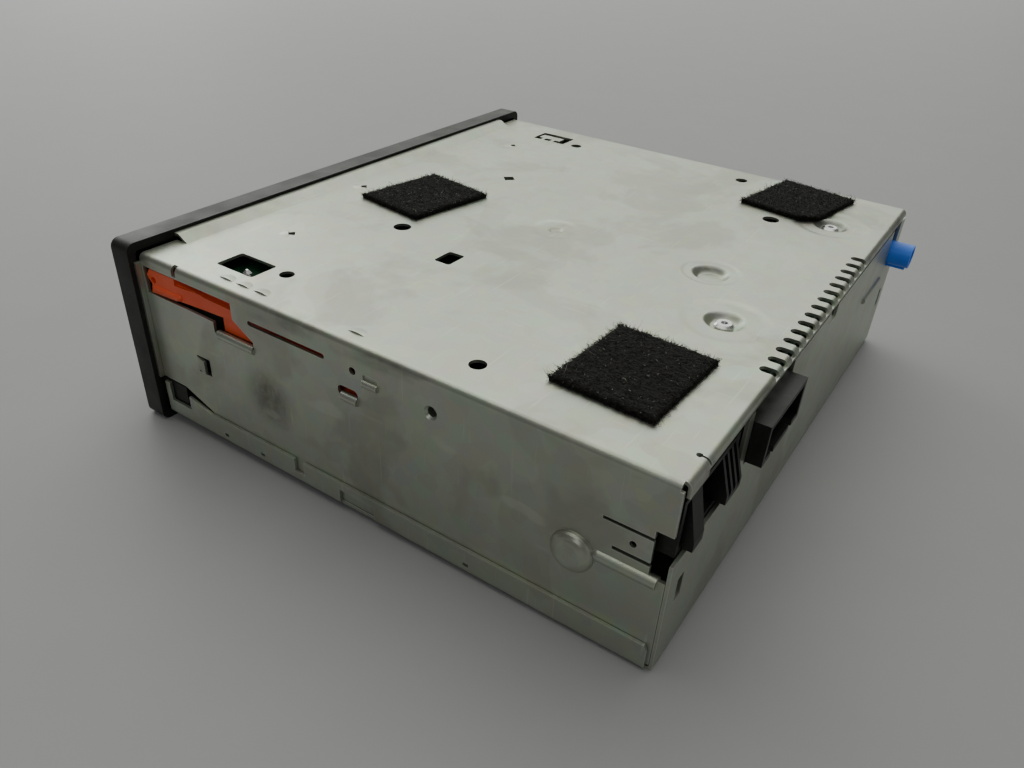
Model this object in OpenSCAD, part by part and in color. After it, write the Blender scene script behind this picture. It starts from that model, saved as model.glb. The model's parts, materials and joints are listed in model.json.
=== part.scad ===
// Single-height car navigation head unit: folded sheet case, moulded front
// panel, slot disc drive, main board and rear sockets. Millimetres, +Z up.
// The front panel faces -Y and the sockets face +Y. The origin is the middle
// of the footprint, level with the lowest edge of the bezel.

/* [Case] */
// Width of the folded cover across its two side walls
case_w = 178; // [170:1:190]
// Height from the tray's underside to the cover's top face
case_h = 50; // [48:0.5:58]
// Depth from the cover's front edge to the rear wall
case_d = 157; // [156:1:190]
// Thickness of the steel sheet
sheet_t = 0.8; // [0.6:0.1:1]
// Outside radius of the folds
bend_r = 1.6; // [1.2:0.1:2.2]
// Gap between sheets that lie one inside the other
sheet_gap = 0.1; // [0.05:0.05:0.3]
// Height of the tray's side flanges
flange_h = 7.4; // [5:0.2:9]
// Rise of the raised tongue along the cover's front edge
tongue_rise = 1.9; // [1:0.1:2.2]
// Distance from a side wall to the end of that tongue
tongue_inset = 12; // [6:1:30]

/* [Cover openings] */
// Number of cooling slots along the rear fold
vent_count = 15; // [5:1:20]
// Distance between cooling slots
vent_pitch = 5.4; // [4.6:0.1:6]
// Width of a cooling slot
vent_w = 2.7; // [1.6:0.1:3.4]
// Length of a cooling slot ahead of the rear wall
vent_l = 4.6; // [3:0.2:8]
// Width and length of the service window in each front corner
service_size = [8.6, 13.4]; // [6:0.2:14]
// Height of the latch window in the right wall
latch_window_h = 7.8; // [7.6:0.1:9]
// Length of the long thin slot behind the latch window
long_slot_l = 26; // [10:1:30]
// Height of the long thin slot
long_slot_h = 1.4; // [0.8:0.1:2]

/* [Pressed cups] */
// Rim radius of a large pressed cup
cup_r = 5.6; // [4.5:0.1:6.5]
// Floor radius of a large pressed cup
cup_floor_r = 3; // [2.8:0.1:4.4]
// Depth of a large pressed cup
cup_depth = 2; // [0.8:0.1:2.2]
// Radius of the shallow dish round a large cup
dish_r = 12; // [8:0.5:13]
// Radius of the dish round the cup that has no screw
small_dish_r = 8.6; // [7.5:0.1:10]
// Depth of a shallow dish
dish_depth = 0.3; // [0.2:0.1:0.6]
// Base radius of the domed boss on each side wall
dome_r = 5.2; // [4:0.2:7]
// Radius of the domed boss's flat top
dome_flat = 1.8; // [1:0.2:3.6]
// Height of the domed boss
dome_h = 2.2; // [1:0.1:2.6]

/* [Bezel] */
// How far the bezel stands out beyond each side wall
bezel_side = 2.7; // [2:0.1:6]
// How far the bezel stands out above and below the case
bezel_over = 2.8; // [2:0.1:4]
// Depth of the bezel
bezel_t = 6.8; // [6.4:0.1:8]
// Corner radius of the bezel
bezel_r = 2.5; // [1.5:0.5:4]
// Wall of the bezel's rim
bezel_wall = 2.4; // [1.6:0.2:3]
// Gap between the bezel's back and the cover's front edge
bezel_gap = 0.8; // [0.8:0.1:2]
// Depth of the panel's face behind the bezel's front edge
panel_set = 2.1; // [1:0.1:2.4]
// Thickness of the panel
panel_t = 2.2; // [1.6:0.1:2.4]

/* [Disc slot and display] */
// Width of the disc slot
slot_w = 124; // [122:1:128]
// Height of the disc slot
slot_h = 4.8; // [4.6:0.1:5.4]
// Width of the display window
display_w = 88; // [60:1:92]
// Gap between the key row and the display window
display_over = 3.8; // [3:0.1:6]
// Gap between the display window and the disc slot
display_under = 4.2; // [3:0.1:6]

/* [Keys and dials] */
// Number of keys in the lower row
key_count = 6; // [6]
// Distance between keys in the row
key_pitch = 15; // [14:0.5:16]
// Width of a row key
key_w = 13; // [9:0.5:13.2]
// Height of a key
key_h = 5.2; // [4:0.2:6]
// Height of the key row's middle above the case's underside
key_z = 7; // [6:0.2:8]
// Width of the two upper keys
side_key_w = 11; // [8:0.5:12]
// How far a key stands out of the panel's face
key_proud = 1.5; // [0.8:0.1:2]
// Travel of a key
key_travel = 0.6; // [0.3:0.1:0.6]
// Gap round a key in its opening
key_gap = 0.2; // [0.1:0.05:0.3]
// Radius of a dial
dial_r = 9.5; // [7:0.5:10]
// Height of a dial in front of the bezel
dial_h = 11; // [8:0.5:14]
// Distance of a dial's axis from the side wall's outer face
dial_inset = 17; // [15:0.5:20]
// Height above the underside from which the dials' axes are halfway up to the disc
dial_base = 2; // [1:0.5:3]
// Number of grip flutes round a dial
dial_flutes = 30; // [12:1:40]
// Radius of a dial's shaft
dial_shaft_r = 3; // [2:0.1:3]

/* [Main board] */
// Thickness of a circuit board
board_t = 1.6; // [1:0.1:2]
// Room between the main board and the cover
board_room = 3.2; // [3:0.1:5]
// Distance from a rail's outer face to the main board's edge
board_inset = 0.2; // [0.1:0.1:2]

/* [Rear sockets] */
// Width of the main socket
main_socket_w = 25; // [20:1:26]
// Height of the main socket
main_socket_h = 10.8; // [9:0.2:12]
// How far the main socket stands out of the rear wall
main_socket_out = 3.8; // [2:0.2:8]
// Distance of the main socket's middle from the right wall's outer face
main_socket_in = 48.2; // [47:0.2:54]
// Width of the corner socket
corner_socket_w = 28.4; // [26:0.2:29]
// Height of the corner socket
corner_socket_h = 14; // [12:0.2:15]
// Distance of the corner socket's middle from the right wall's outer face
corner_socket_in = 16.8; // [16.4:0.2:18]
// Wall of a socket
socket_wall = 1.4; // [1:0.1:1.8]
// Radius of the aerial plug
aerial_r = 3.8; // [3:0.1:4.4]
// How far the aerial plug stands out of the rear wall
aerial_out = 6.6; // [4:0.2:12]
// Distance of the aerial plug's axis from the left wall's outer face
aerial_in = 11; // [9:0.5:20]
// Drop of the aerial plug's axis below the main board
aerial_drop = 6; // [5.6:0.1:8]

/* [Disc drive] */
// Distance from a side wall's outer face to the drive's pan
drive_side = 20; // [19:0.5:23]
// Depth of the drive's pan
drive_d = 130; // [126:1:130]
// Height of the free disc bay
bay_h = 5; // [4.6:0.1:5.2]
// Drop from the main board to the disc's plane
disc_drop = 8.4; // [8.2:0.1:9]
// Height of the pan's walls
pan_h = 24.4; // [23:0.2:25]
// Radius of the loading roller at its ends
roller_r = 3.2; // [2.6:0.1:3.4]
// Radius of the loading roller at its waist
roller_waist_r = 2.4; // [1.8:0.1:2.6]
// Radius of the roller's shaft
roller_shaft_r = 1.5; // [1:0.1:1.6]
// Radial running gap of a shaft in its hole
shaft_gap = 0.05; // [0.02:0.01:0.08]
// Tooth size of the loading gears
gear_module = 0.6; // [0.5:0.05:0.65]
// Teeth of the roller's gear
roller_teeth = 18; // [16:1:20]
// Teeth of the idler gear
idler_teeth = 24; // [20:1:26]
// Teeth of the motor's pinion
pinion_teeth = 12; // [12:1:14]
// Width of a gear
gear_w = 2.6; // [1.6:0.2:2.6]
// Play between meshing teeth
gear_play = 0.16; // [0.1:0.02:0.24]
// Radius of the turntable
turntable_r = 13; // [10:0.5:14]
// Distance from the drive's middle to the pickup at rest
sled_in = 24; // [23:0.5:26]
// Radius of the sled's guide rod and lead screw
rod_r = 1.5; // [1:0.1:1.6]

/* [Latch] */
// Thickness of the latch's bar
latch_t = 2; // [1.4:0.1:2.2]
// Travel of the latch
latch_travel = 6; // [3:0.5:7]
// Radius of the studs that guide the latch
latch_stud_r = 1.5; // [1:0.1:1.6]

/* [Felt pads] */
// Length of a felt pad
pad_l = 30.6; // [20:0.2:34]
// Width of a felt pad
pad_w = 25.6; // [16:0.2:28]
// Thickness of a felt pad
pad_t = 2; // [1:0.1:2.4]

/* [Fasteners] */
// Shank radius of a screw
screw_r = 1.2; // [0.9:0.1:1.4]
// Head radius of a screw
screw_head_r = 2.5; // [2:0.1:2.8]
// Head height of a screw
screw_head_h = 1.2; // [1:0.1:1.6]
// Bore radius of the threaded collar on each side wall
side_bore_r = 1.25; // [1:0.05:1.6]
// Length of that collar
side_bore_l = 2.4; // [1.6:0.1:3]

/* [Hidden] */
$fn = 48;
eps = 0.01;
half_w = case_w / 2;
bezel_w = case_w + 2 * bezel_side;
bezel_h = case_h + 2 * bezel_over;
inner_x = half_w - sheet_t;
pan_x = half_w - drive_side;
drive_w = 2 * pan_x;
side_low = 2 * sheet_t;
cover_front = sheet_gap;
fold_y = case_d - bend_r;
lip_low = case_h - bend_r - 0.4;
flange_x = half_w + sheet_gap;
wall_y = case_d - sheet_t;
wall_half = half_w - sheet_gap;
bezel_back = -bezel_gap;
bezel_front = bezel_back - bezel_t;
panel_y = bezel_front + panel_set;
panel_back = panel_y + panel_t;
bezel_low = -bezel_over;
dial_front = bezel_front - dial_h;
aerial_end = case_d + aerial_out;
origin_y = (dial_front + aerial_end) / 2;
board_z = case_h - sheet_t - board_room - board_t;
disc_z = board_z - disc_drop;
frame_d = 6;
press_gap = 0.02;
zinc = [0.72, 0.73, 0.68];
dark = [0.12, 0.12, 0.12];
steel = [0.6, 0.61, 0.62];
green = [0.12, 0.32, 0.18];

// Moves the case's frame to the part's origin
module place() {
    translate([0, -origin_y, -bezel_low]) children();
}

// Extrudes an XZ outline along +Y
module along_y(y0, len) {
    translate([0, y0 + len, 0]) rotate([90, 0, 0]) linear_extrude(len) children();
}

// Extrudes a YZ outline along +X
module along_x(x0, len) {
    translate([x0, 0, 0]) rotate([90, 0, 90]) linear_extrude(len) children();
}

// Rod along +X or +Y
module rod_x(at, r, len) {
    translate(at) rotate([0, 90, 0]) cylinder(r = r, h = len);
}
module rod_y(at, r, len) {
    translate(at) rotate([-90, 0, 0]) cylinder(r = r, h = len);
}

// Rectangle about the origin with round corners
module round_rect(w, h, r) {
    square([w, h - 2 * r], center = true);
    square([w - 2 * r, h], center = true);
    for (sx = [-1, 1], sz = [-1, 1]) translate([sx * (w / 2 - r), sz * (h / 2 - r)]) circle(r);
}

// Slot with round ends, from one end to the other along X
module slot2d(len, h) {
    translate([h / 2, -h / 2]) square([len - h, h]);
    for (x = [h / 2, len - h / 2]) translate([x, 0]) circle(h / 2);
}

// Inverted U outline with folded top corners
module arch(w, low, high, r) {
    translate([-w / 2, low]) square([w, high - low - r]);
    translate([-w / 2 + r, low]) square([w - 2 * r, high - low]);
    for (s = [-1, 1]) translate([s * (w / 2 - r), high - r]) circle(r);
}

// Quarter of a folded sheet about the origin, from +X to +Y
module fold2d() {
    intersection() {
        difference() {
            circle(bend_r);
            circle(bend_r - sheet_t);
        }
        square(bend_r + eps);
    }
}

// Domed boss on a sheet whose outer face is at Z = 0
module dome() {
    steps = [0:15:90];
    outer = [for (a = steps) [dome_flat + (dome_r - dome_flat) * sin(a), dome_h * cos(a)]];
    inner_r = dome_r - sheet_t - dome_flat;
    inner = [for (a = steps) [dome_flat + inner_r * cos(a), dome_h * sin(a) - sheet_t]];
    rotate_extrude()
        polygon(concat([[0, dome_h]], outer, [[dome_r, -sheet_t]], inner, [[0, dome_h - sheet_t]]));
}

// Smooth step of a pressed face, as radius and height, from one radius and depth to the next
function pressed(r0, r1, d0, d1) = [
    for (t = [0:0.125:1]) [r0 + (r1 - r0) * t, -d0 - (d1 - d0) * (1 - cos(180 * t)) / 2]
];

// Turned sheet under the given face line
module turned_sheet(face) {
    rotate_extrude() polygon(concat(face, [for (i = [len(face) - 1:-1:0]) face[i] - [0, sheet_t]]));
}

// Small cup inside a shallow dish, in a sheet whose top face is at Z = 0
module dimple() {
    turned_sheet(concat(
        pressed(dimple_dish_r, (dimple_dish_r + dimple_r) / 2, 0, dish_depth),
        pressed(dimple_r, dimple_floor_r, dish_depth, dimple_depth),
        [[0, -dimple_depth]]
    ));
}

// Large cup inside a shallow dish, with a hole in its floor
module dished_cup(rim, hole_r) {
    turned_sheet(concat(
        pressed(rim, (rim + cup_r) / 2, 0, dish_depth),
        pressed(cup_r, cup_floor_r, dish_depth, cup_depth),
        [[hole_r, -cup_depth]]
    ));
}

// Cuts through the top face only
module through_top() {
    translate([0, 0, case_h - 2 * sheet_t]) linear_extrude(4 * sheet_t) children();
}

// Places of the pressed cups on the cover, from the middle and the rear wall
cup_at = [[0.7, case_d - 32.6], [24.6, case_d - 19.1], [-57.2, case_d - 16.4]];
dome_at = [case_d - 21.5, case_h - 27.5];
side_bore_at = [98.3, case_h - 9];
// Wall and countersink of the threaded collar, radius of the rolled shoulder
collar_t = 1.2;
collar_sink = 0.6;
shoulder_r = 1.5;
// Lanced tab of a side wall: front edge, lower edge, size and how far it stands out
tab_y = 17.5;
tab_low = case_h - 29.7;
tab_size = 5.2;
tab_out = 0.9;
// Radius of the rolled guide lips
lip_r = 1.2;
// Rear end of the raised tongue's slope
tongue_back = 4.4;
latch_top = case_h - 3.2;
latch_low = latch_top - latch_window_h;
service_y = 20.2;
service_x = half_w - 13;
tongue_x = half_w - tongue_inset;
lance_at = [[half_w - 4.6, 29.5], [half_w - 4.6, 35.6], [half_w - 4.6, 42], [half_w - 4.6, 73.5]];
notch_at = [[54.6, 20], [13, 8.8], [-57.1, 19.7]];
dimple_at = [2.5, 76];
dimple_r = 2.6;
dimple_floor_r = 1;
dimple_depth = 0.9;
dimple_dish_r = 8;
round_holes = [
    [service_x - 2.6, 39, 2], [2.6 - service_x, 38.6, 2],
    [30.5, 40.7, 2.6], [half_w - 10.5, 103, 2.1], [10.5 - half_w, 103, 2.1],
    [-48.5, case_d - 33, 2.6], [dimple_at[0], dimple_at[1], dimple_dish_r]
];

// Latch window outline in the right wall
module latch_window() {
    polygon([
        [1.2, latch_low], [0.8, latch_top], [35.2, latch_top], [35.2, latch_top - 4.6],
        [42, latch_low - 1], [42, latch_low - 3.2], [27.2, latch_low - 3.2], [27.2, latch_low - 0.2],
        [18, latch_low]
    ]);
}

// Openings that both side walls have
module side_openings() {
    along_x(-eps - 2 * sheet_t, 4 * sheet_t) {
        translate([side_bore_at[0], side_bore_at[1]]) circle(side_bore_r + collar_t);
        translate([75.7, case_h - 7.1]) circle(1);
        translate([dome_at[0], dome_at[1]]) circle(dome_r);
        // Corner cut away above the tray's front end
        polygon([[-1, -1], [-1, 12], [9.5, 12], [20.4, flange_h + 0.4], [20.4, -1]]);
        // Locking tongue and the cut-out behind it
        translate([case_d - 15.7, case_h - 15.4]) square([15, 0.8]);
        translate([case_d - 13, case_h - 22]) square([14, 0.9]);
        translate([case_d - 4.6, case_h - 24.6]) square([6, 12]);
        translate([case_d - 8.7, case_h - 18.4]) circle(0.8);
        // Opening of the lanced tab
        translate([tab_y, tab_low]) square(tab_size);
    }
}

// Pieces pressed out of both side walls
module side_pressings() {
    // Domed boss
    translate([0, dome_at[0], dome_at[1]]) rotate([0, 90, 0]) dome();
    // Threaded collar with a countersunk mouth
    translate([-side_bore_l, side_bore_at[0], side_bore_at[1]]) rotate([0, 90, 0]) rotate_extrude() polygon([
        [side_bore_r, 0], [side_bore_r + collar_t, 0], [side_bore_r + collar_t, side_bore_l],
        [side_bore_r + collar_sink, side_bore_l], [side_bore_r, side_bore_l - collar_sink]
    ]);
    // Lanced tab bent out from its front edge
    translate([0, 0, tab_low + 0.6]) linear_extrude(tab_size - 1.2) polygon([
        [-sheet_t, tab_y - 0.1], [0, tab_y - 0.1],
        [tab_out, tab_y + tab_size - 1.4], [tab_out - sheet_t, tab_y + tab_size - 1.4]
    ]);
    // Rolled shoulder under the locking tongue
    rod_y([-0.4, case_d - 15.6, case_h - 25.6], shoulder_r, 13);
    translate([-0.4, case_d - 15.6, case_h - 25.6]) sphere(shoulder_r);
}

module top_cover() {
    color(zinc) {
        difference() {
            union() {
                along_y(cover_front, fold_y - cover_front) difference() {
                    arch(case_w, side_low, case_h, bend_r);
                    arch(2 * inner_x, side_low - 1, case_h - sheet_t, bend_r - sheet_t);
                }
                // Rear fold and lip
                along_x(bend_r - half_w, case_w - 2 * bend_r) {
                    translate([fold_y, case_h - bend_r]) fold2d();
                    translate([wall_y, lip_low]) square([sheet_t, case_h - bend_r - lip_low]);
                }
                along_x(half_w - 10, 10 - bend_r) translate([wall_y, lip_low - 1.6]) square([sheet_t, 1.8]);
                // Side walls run on to the rear wall
                for (x = [-half_w, inner_x]) translate([x, fold_y - eps, side_low])
                    cube([sheet_t, bend_r - sheet_t - sheet_gap + eps, case_h - bend_r - side_low]);
            }
            through_top() {
                for (s = [-1, 1]) translate([s * service_x, service_y + service_size[1] / 2])
                    round_rect(service_size[0], service_size[1], 0.8);
                for (h = round_holes) translate([h[0], h[1]]) circle(h[2]);
                translate([39, 64.6]) round_rect(7.2, 5.2, 0.8);
                translate([-25.4, 40.2]) rotate(45) square(3.4, center = true);
                for (p = notch_at) translate(p) polygon([[-1.8, 0.2], [0, 1.9], [1.3, -1.1], [0.4, -1.6]]);
                for (p = cup_at) translate(p) circle(p == cup_at[0] ? small_dish_r : dish_r);
                // Front edge behind the raised tongue
                translate([-tongue_x, -1]) square([2 * tongue_x, tongue_back + 1]);
                // Relief cut in the rear lip
                translate([half_w - 10.6, case_d - 2.6]) square([0.6, 4]);
                translate([half_w - 10.3, case_d - 2.6]) circle(0.7);
            }
            // Cooling slots over the rear fold
            for (i = [0:vent_count - 1]) translate([40.9 - i * vent_pitch, case_d - vent_l, lip_low + 0.7])
                linear_extrude(bend_r + 2) rotate(90) slot2d(vent_l + 4, vent_w);
            translate([half_w, 0, 0]) {
                side_openings();
                // Pocket above the lip of the lance behind the small window
                along_x(-sheet_t / 2, sheet_t) translate([78.8, case_h - 9.2]) square([4.4, 2.4]);
                along_x(-2 * sheet_t, 4 * sheet_t) {
                    latch_window();
                    translate([40.9, case_h - 6.7]) slot2d(long_slot_l, long_slot_h);
                    translate([73.8, case_h - 13.9]) round_rect(6.4, 3, 1.4);
                    translate([13, case_h - 2.8]) square([1.6, 4]);
                }
            }
            mirror([1, 0, 0]) translate([half_w, 0, 0]) side_openings();
        }
        // Raised tongue along the front edge
        along_x(-tongue_x, 2 * tongue_x) translate([0, case_h]) polygon([
            [tongue_back, 0], [1.2, tongue_rise], [-0.6, tongue_rise], [-0.6, tongue_rise - sheet_t],
            [1.2, tongue_rise - sheet_t], [tongue_back, -sheet_t]
        ]);
        translate([cup_at[0][0], cup_at[0][1], case_h]) dished_cup(small_dish_r, 0);
        for (i = [1, 2]) translate([cup_at[i][0], cup_at[i][1], case_h]) dished_cup(dish_r, screw_r + 0.2);
        translate([dimple_at[0], dimple_at[1], case_h]) dimple();
        for (p = lance_at) translate([p[0], p[1], case_h - eps]) lance();
        for (p = notch_at) translate([p[0] + 0.6, p[1] - 0.6, case_h - eps]) rotate(135) lance();
        // Left tab still standing in its service window
        translate([-service_x, service_y, case_h - sheet_t]) linear_extrude(sheet_t) {
            translate([-1.6, 1.4]) square([3.6, service_size[1] - 4.4]);
            for (y = [3.3, 7.3]) translate([1, y]) square([service_size[0] / 2 - 1 + eps, 1.2]);
        }
        translate([half_w, 0, 0]) {
            side_pressings();
            // Rolled guide lips under the latch
            rod_y([-0.4, 28.4, latch_low - 3.5], lip_r, 13.4);
            rod_y([-0.2, 71.8, case_h - 15.3], lip_r, 5);
            rod_y([-0.2, 78.8, case_h - 9.2], lip_r - 0.2, 4.4);
        }
        mirror([1, 0, 0]) translate([half_w, 0, 0]) side_pressings();
    }
}

// Half-moon sheared up out of the sheet
lance_h = 0.45;
lance_r = 7.5;
module lance() {
    intersection() {
        translate([0.4, 0, lance_h - lance_r]) sphere(lance_r);
        translate([-lance_r, -lance_r, 0]) cube([lance_r + 0.4, 2 * lance_r, 2 * lance_h]);
    }
}

module bottom_tray() {
    color(zinc) difference() {
        union() {
            along_y(1, fold_y - 1) difference() {
                rotate(180) arch(2 * (flange_x + sheet_t), -11, 0, bend_r);
                rotate(180) arch(2 * flange_x, -12, -sheet_t, bend_r - sheet_t);
            }
            // Rear wall folded up from the floor
            along_x(-wall_half, 2 * wall_half) {
                translate([fold_y, bend_r]) mirror([0, 1]) fold2d();
                translate([wall_y, bend_r]) square([sheet_t, case_h - 2.8 - bend_r]);
            }
            // Ridge pressed out of the rear wall
            rod_x([ridge_x - half_w, case_d - 0.4, 31.7], ridge_r, ridge_l);
            for (p = tray_feet) translate([p[0], p[1], sheet_t]) rotate_extrude()
                polygon([[0, 0], [5.2, 0], [4.2, 0.6], [0, 0.6]]);
        }
        for (s = [0, 1]) mirror([s, 0, 0]) along_x(flange_x - eps, 2 * sheet_t) {
            // Flange top edge, with the notch and the open front corner
            polygon([[20.4, flange_h], [11.2, 9.6], [11.2, 12], [case_d, 12], [case_d, 3],
                [case_d - 2.4, flange_h]]);
            translate([3, 5.2]) square([8.3, 7]);
            translate([54.7, 6.4]) square([3.4, 6.2], center = true);
            translate([69, -1]) square([11.6, 6.2]);
            for (y = [26, 40.5, 109]) translate([y, 2.8]) square([1.6, 1], center = true);
        }
        along_y(wall_y - 1, sheet_t + 2) rear_openings();
        through_floor();
    }
}

// Ridge of the rear wall: distance from the left wall, length and radius
ridge_x = 20;
ridge_l = 19.5;
ridge_r = 1.2;
// Places of the drive's dampers on the tray
damper_x = 58;
damper_y = [18, 126];
tray_feet = [for (sx = [-1, 1], y = damper_y) [sx * damper_x, y]];
main_socket_x = half_w - main_socket_in;
corner_socket_x = half_w - corner_socket_in;
aerial_x = aerial_in - half_w;
aerial_z = board_z - aerial_drop;

// Openings of the rear wall for the sockets
module rear_openings() {
    translate([main_socket_x - main_socket_w / 2 - 0.6, board_z - main_socket_h - 0.6])
        square([main_socket_w + 1.2, 30]);
    translate([corner_socket_x - corner_socket_w / 2 - 0.6, board_z - corner_socket_h - 0.2])
        square([corner_socket_w + 20, 30]);
    translate([aerial_x - aerial_r - 0.8, aerial_z]) square([2 * aerial_r + 1.6, 30]);
    translate([aerial_x, aerial_z]) circle(aerial_r + 0.8);
    translate([aerial_x - 1.3, aerial_z - aerial_r - 1.4]) square([2.6, aerial_r]);
    translate([-8.8, case_h - 6.4]) square([6.6, 10]);
    for (s = [-1, 1]) translate([s * (half_w - 6.4), 20]) square([3, 6.6], center = true);
}

// Cooling slots of the tray's floor
module through_floor() {
    translate([0, 0, -1]) linear_extrude(3 * sheet_t) {
        for (y = [40:7:96], s = [-1, 1]) translate([s * 38 - 12, y]) slot2d(24, 2.6);
    }
}

// Corners where the bezel's posts meet the frame
post_x = half_w - 9.5;
post_z = [6.4, case_h - 7];
front_board_y = 2;
// Snap hooks of the bezel
hook_low = 5.6;
hook_h = 5.8;
hook_l = 10;

// Outside of the metal front frame
frame_w = 2 * (inner_x - sheet_gap);
frame_h = case_h - 2 * (sheet_t + sheet_gap);

module front_frame() {
    color(zinc) difference() {
        union() {
            along_y(0, frame_d) translate([0, case_h / 2]) difference() {
                round_rect(frame_w, frame_h, bend_r);
                round_rect(frame_w - 2 * sheet_t, frame_h - 2 * sheet_t, bend_r - sheet_t);
            }
            along_y(frame_d - sheet_t, sheet_t) translate([0, case_h / 2])
                round_rect(frame_w, frame_h, bend_r);
            // Ears behind the bezel's side rims
            for (s = [0, 1]) mirror([s, 0, 0]) along_y(bezel_back, bezel_gap)
                translate([frame_w / 2 - sheet_t, 12]) square([half_w - inner_x + 2.2, case_h - 14.4]);
        }
        along_y(frame_d - 2, 4) {
            translate([0, disc_z]) round_rect(slot_w + 4, bay_h + 1, 1);
            translate([0, dial_z]) round_rect(90, 14, 2);
            for (s = [-1, 1], z = post_z) translate([s * post_x, z]) circle(screw_r + 0.15);
        }
        // Way for the latch's finger block
        along_y(eps, frame_d) translate([latch_x - 0.4, latch_low - 0.2]) square([8, latch_window_h + 0.4]);
    }
}

module front_bezel() {
    color(dark) difference() {
        union() {
            along_y(bezel_front, bezel_t) translate([0, case_h / 2]) difference() {
                round_rect(bezel_w, bezel_h, bezel_r);
                round_rect(bezel_w - 2 * bezel_wall, bezel_h - 2 * bezel_wall, 0.8);
            }
            along_y(panel_y, panel_t) translate([0, case_h / 2])
                square([bezel_w - 2 * bezel_wall + eps, bezel_h - 2 * bezel_wall + eps], center = true);
            // Posts that carry the front board and meet the frame
            for (s = [-1, 1], z = post_z) {
                rod_y([s * post_x, panel_back - eps, z], 3.2, front_board_y - panel_back);
                rod_y([s * post_x, panel_back - eps, z], 2.4, frame_d - sheet_t - panel_back);
            }
            // Snap hooks that show in the open lower corners of the side walls
            for (s = [0, 1]) mirror([s, 0, 0]) translate([inner_x, 0, hook_low]) {
                translate([0, panel_back - eps, 0])
                    cube([bezel_w / 2 - inner_x - 1, bezel_back - panel_back, hook_h]);
                translate([0, bezel_back - eps, 0]) cube([sheet_t - sheet_gap, hook_l, hook_h]);
            }
            // Collars round the dials
            for (s = [-1, 1]) rod_y([s * dial_x, panel_y - 0.5, dial_z], dial_r + 1.6, panel_t);
        }
        along_y(panel_y - 2, panel_t + 4) {
            translate([0, disc_z]) round_rect(slot_w, slot_h, 1.2);
            translate([0, display_z]) round_rect(display_w, display_h, 1);
            for (k = keys) translate([k[0], k[1]])
                square([k[2] + 2 * key_gap, key_h + 2 * key_gap], center = true);
        }
        for (s = [-1, 1]) {
            rod_y([s * dial_x, panel_y - 2, dial_z], dial_shaft_r + 1.8, panel_t + 4);
            rod_y([s * dial_x, panel_y - 2, dial_z], dial_r + 0.6, 2);
        }
        for (s = [-1, 1], z = post_z) rod_y([s * post_x, 0, z], screw_r, 20);
    }
}

dial_x = half_w - dial_inset;
dial_z = (disc_z + dial_base) / 2;
display_low = key_z + key_h / 2 + display_over;
display_top = disc_z - slot_h / 2 - display_under;
display_h = display_top - display_low;
display_z = (display_top + display_low) / 2;
// Keys as X, Z and width: the lower row, then the two upper keys
keys = concat(
    [for (i = [0:key_count - 1]) [(i - (key_count - 1) / 2) * key_pitch, key_z, key_w]],
    [for (s = [-1, 1]) [s * (slot_w / 2 + side_key_w / 2 + 4), disc_z, side_key_w]]
);

// Radius of the finger hollow in a key's face
hollow_r = 30;
// One key: hollowed cap, stop flange and stem
module key(i) {
    at = keys[i];
    cap_y = panel_y - key_proud;
    color(dark) translate([at[0], 0, at[1]]) difference() {
        union() {
            along_y(cap_y, panel_back - cap_y) square([at[2], key_h], center = true);
            along_y(panel_back + 0.1, 0.9) square([at[2] + 1, key_h + 1], center = true);
            along_y(panel_back - eps, 0.2) square([at[2], key_h], center = true);
            rod_y([0, panel_back + 0.9, 0], 1.4, 1.2 - key_travel - panel_back - 1.4 + 0.1);
        }
        // Finger hollow
        translate([-at[2], cap_y + 0.5 - hollow_r, 0]) rotate([0, 90, 0])
            cylinder(r = hollow_r, h = 2 * at[2], $fn = 128);
    }
}

// Tact switches under the keys
module key_switches() {
    color(steel) for (k = keys) translate([k[0], 0, k[1]]) {
        along_y(1.2, front_board_y - 1.2) square([4.4, 4.4], center = true);
        rod_y([0, 0.9, 0], 1.3, 0.4);
    }
}

module display_lens() {
    color([0.05, 0.06, 0.07]) translate([0, 0, display_z]) {
        along_y(panel_y + 0.2, panel_t) round_rect(display_w - 0.3, display_h - 0.3, 0.9);
        along_y(panel_back, 0.8) round_rect(display_w + 2.4, display_h + 1.6, 1.2);
    }
}

module display_module() {
    color([0.2, 0.22, 0.24]) translate([0, 0, display_z]) difference() {
        along_y(panel_back + 0.8, front_board_y - panel_back - 0.8)
            round_rect(display_w + 2, display_h + 1.2, 0.6);
        along_y(panel_back, 1.4) round_rect(display_w - 2, display_h - 2, 0.4);
    }
}

module front_board() {
    color(green) difference() {
        along_y(front_board_y, board_t) translate([0, case_h / 2])
            round_rect(case_w - 11.2, case_h - 7, 1.5);
        along_y(front_board_y - 1, board_t + 2) {
            translate([0, disc_z]) round_rect(slot_w + 4, bay_h + 1, 1);
            for (s = [-1, 1], z = post_z) translate([s * post_x, z]) circle(2.4 + 0.1);
        }
    }
}

// Encoder bodies with their bushings
module encoders() {
    color(steel) for (s = [-1, 1]) translate([s * dial_x, 0, dial_z]) difference() {
        union() {
            along_y(-2, front_board_y + 2) round_rect(12, 12, 0.6);
            rod_y([0, panel_y - 1.2, 0], dial_shaft_r + 1.2, -2 - panel_y + 1.3);
        }
        rod_y([0, panel_y - 3, 0], dial_shaft_r + shaft_gap, 3 - panel_y);
    }
}

// Shaft of a dial, from the encoder's floor to the dial's bore
module dial_shaft(s) {
    shaft_front = dial_front + 2.5;
    color(steel) rod_y([s * dial_x, shaft_front, dial_z], dial_shaft_r, -0.2 - shaft_front);
}

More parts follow.
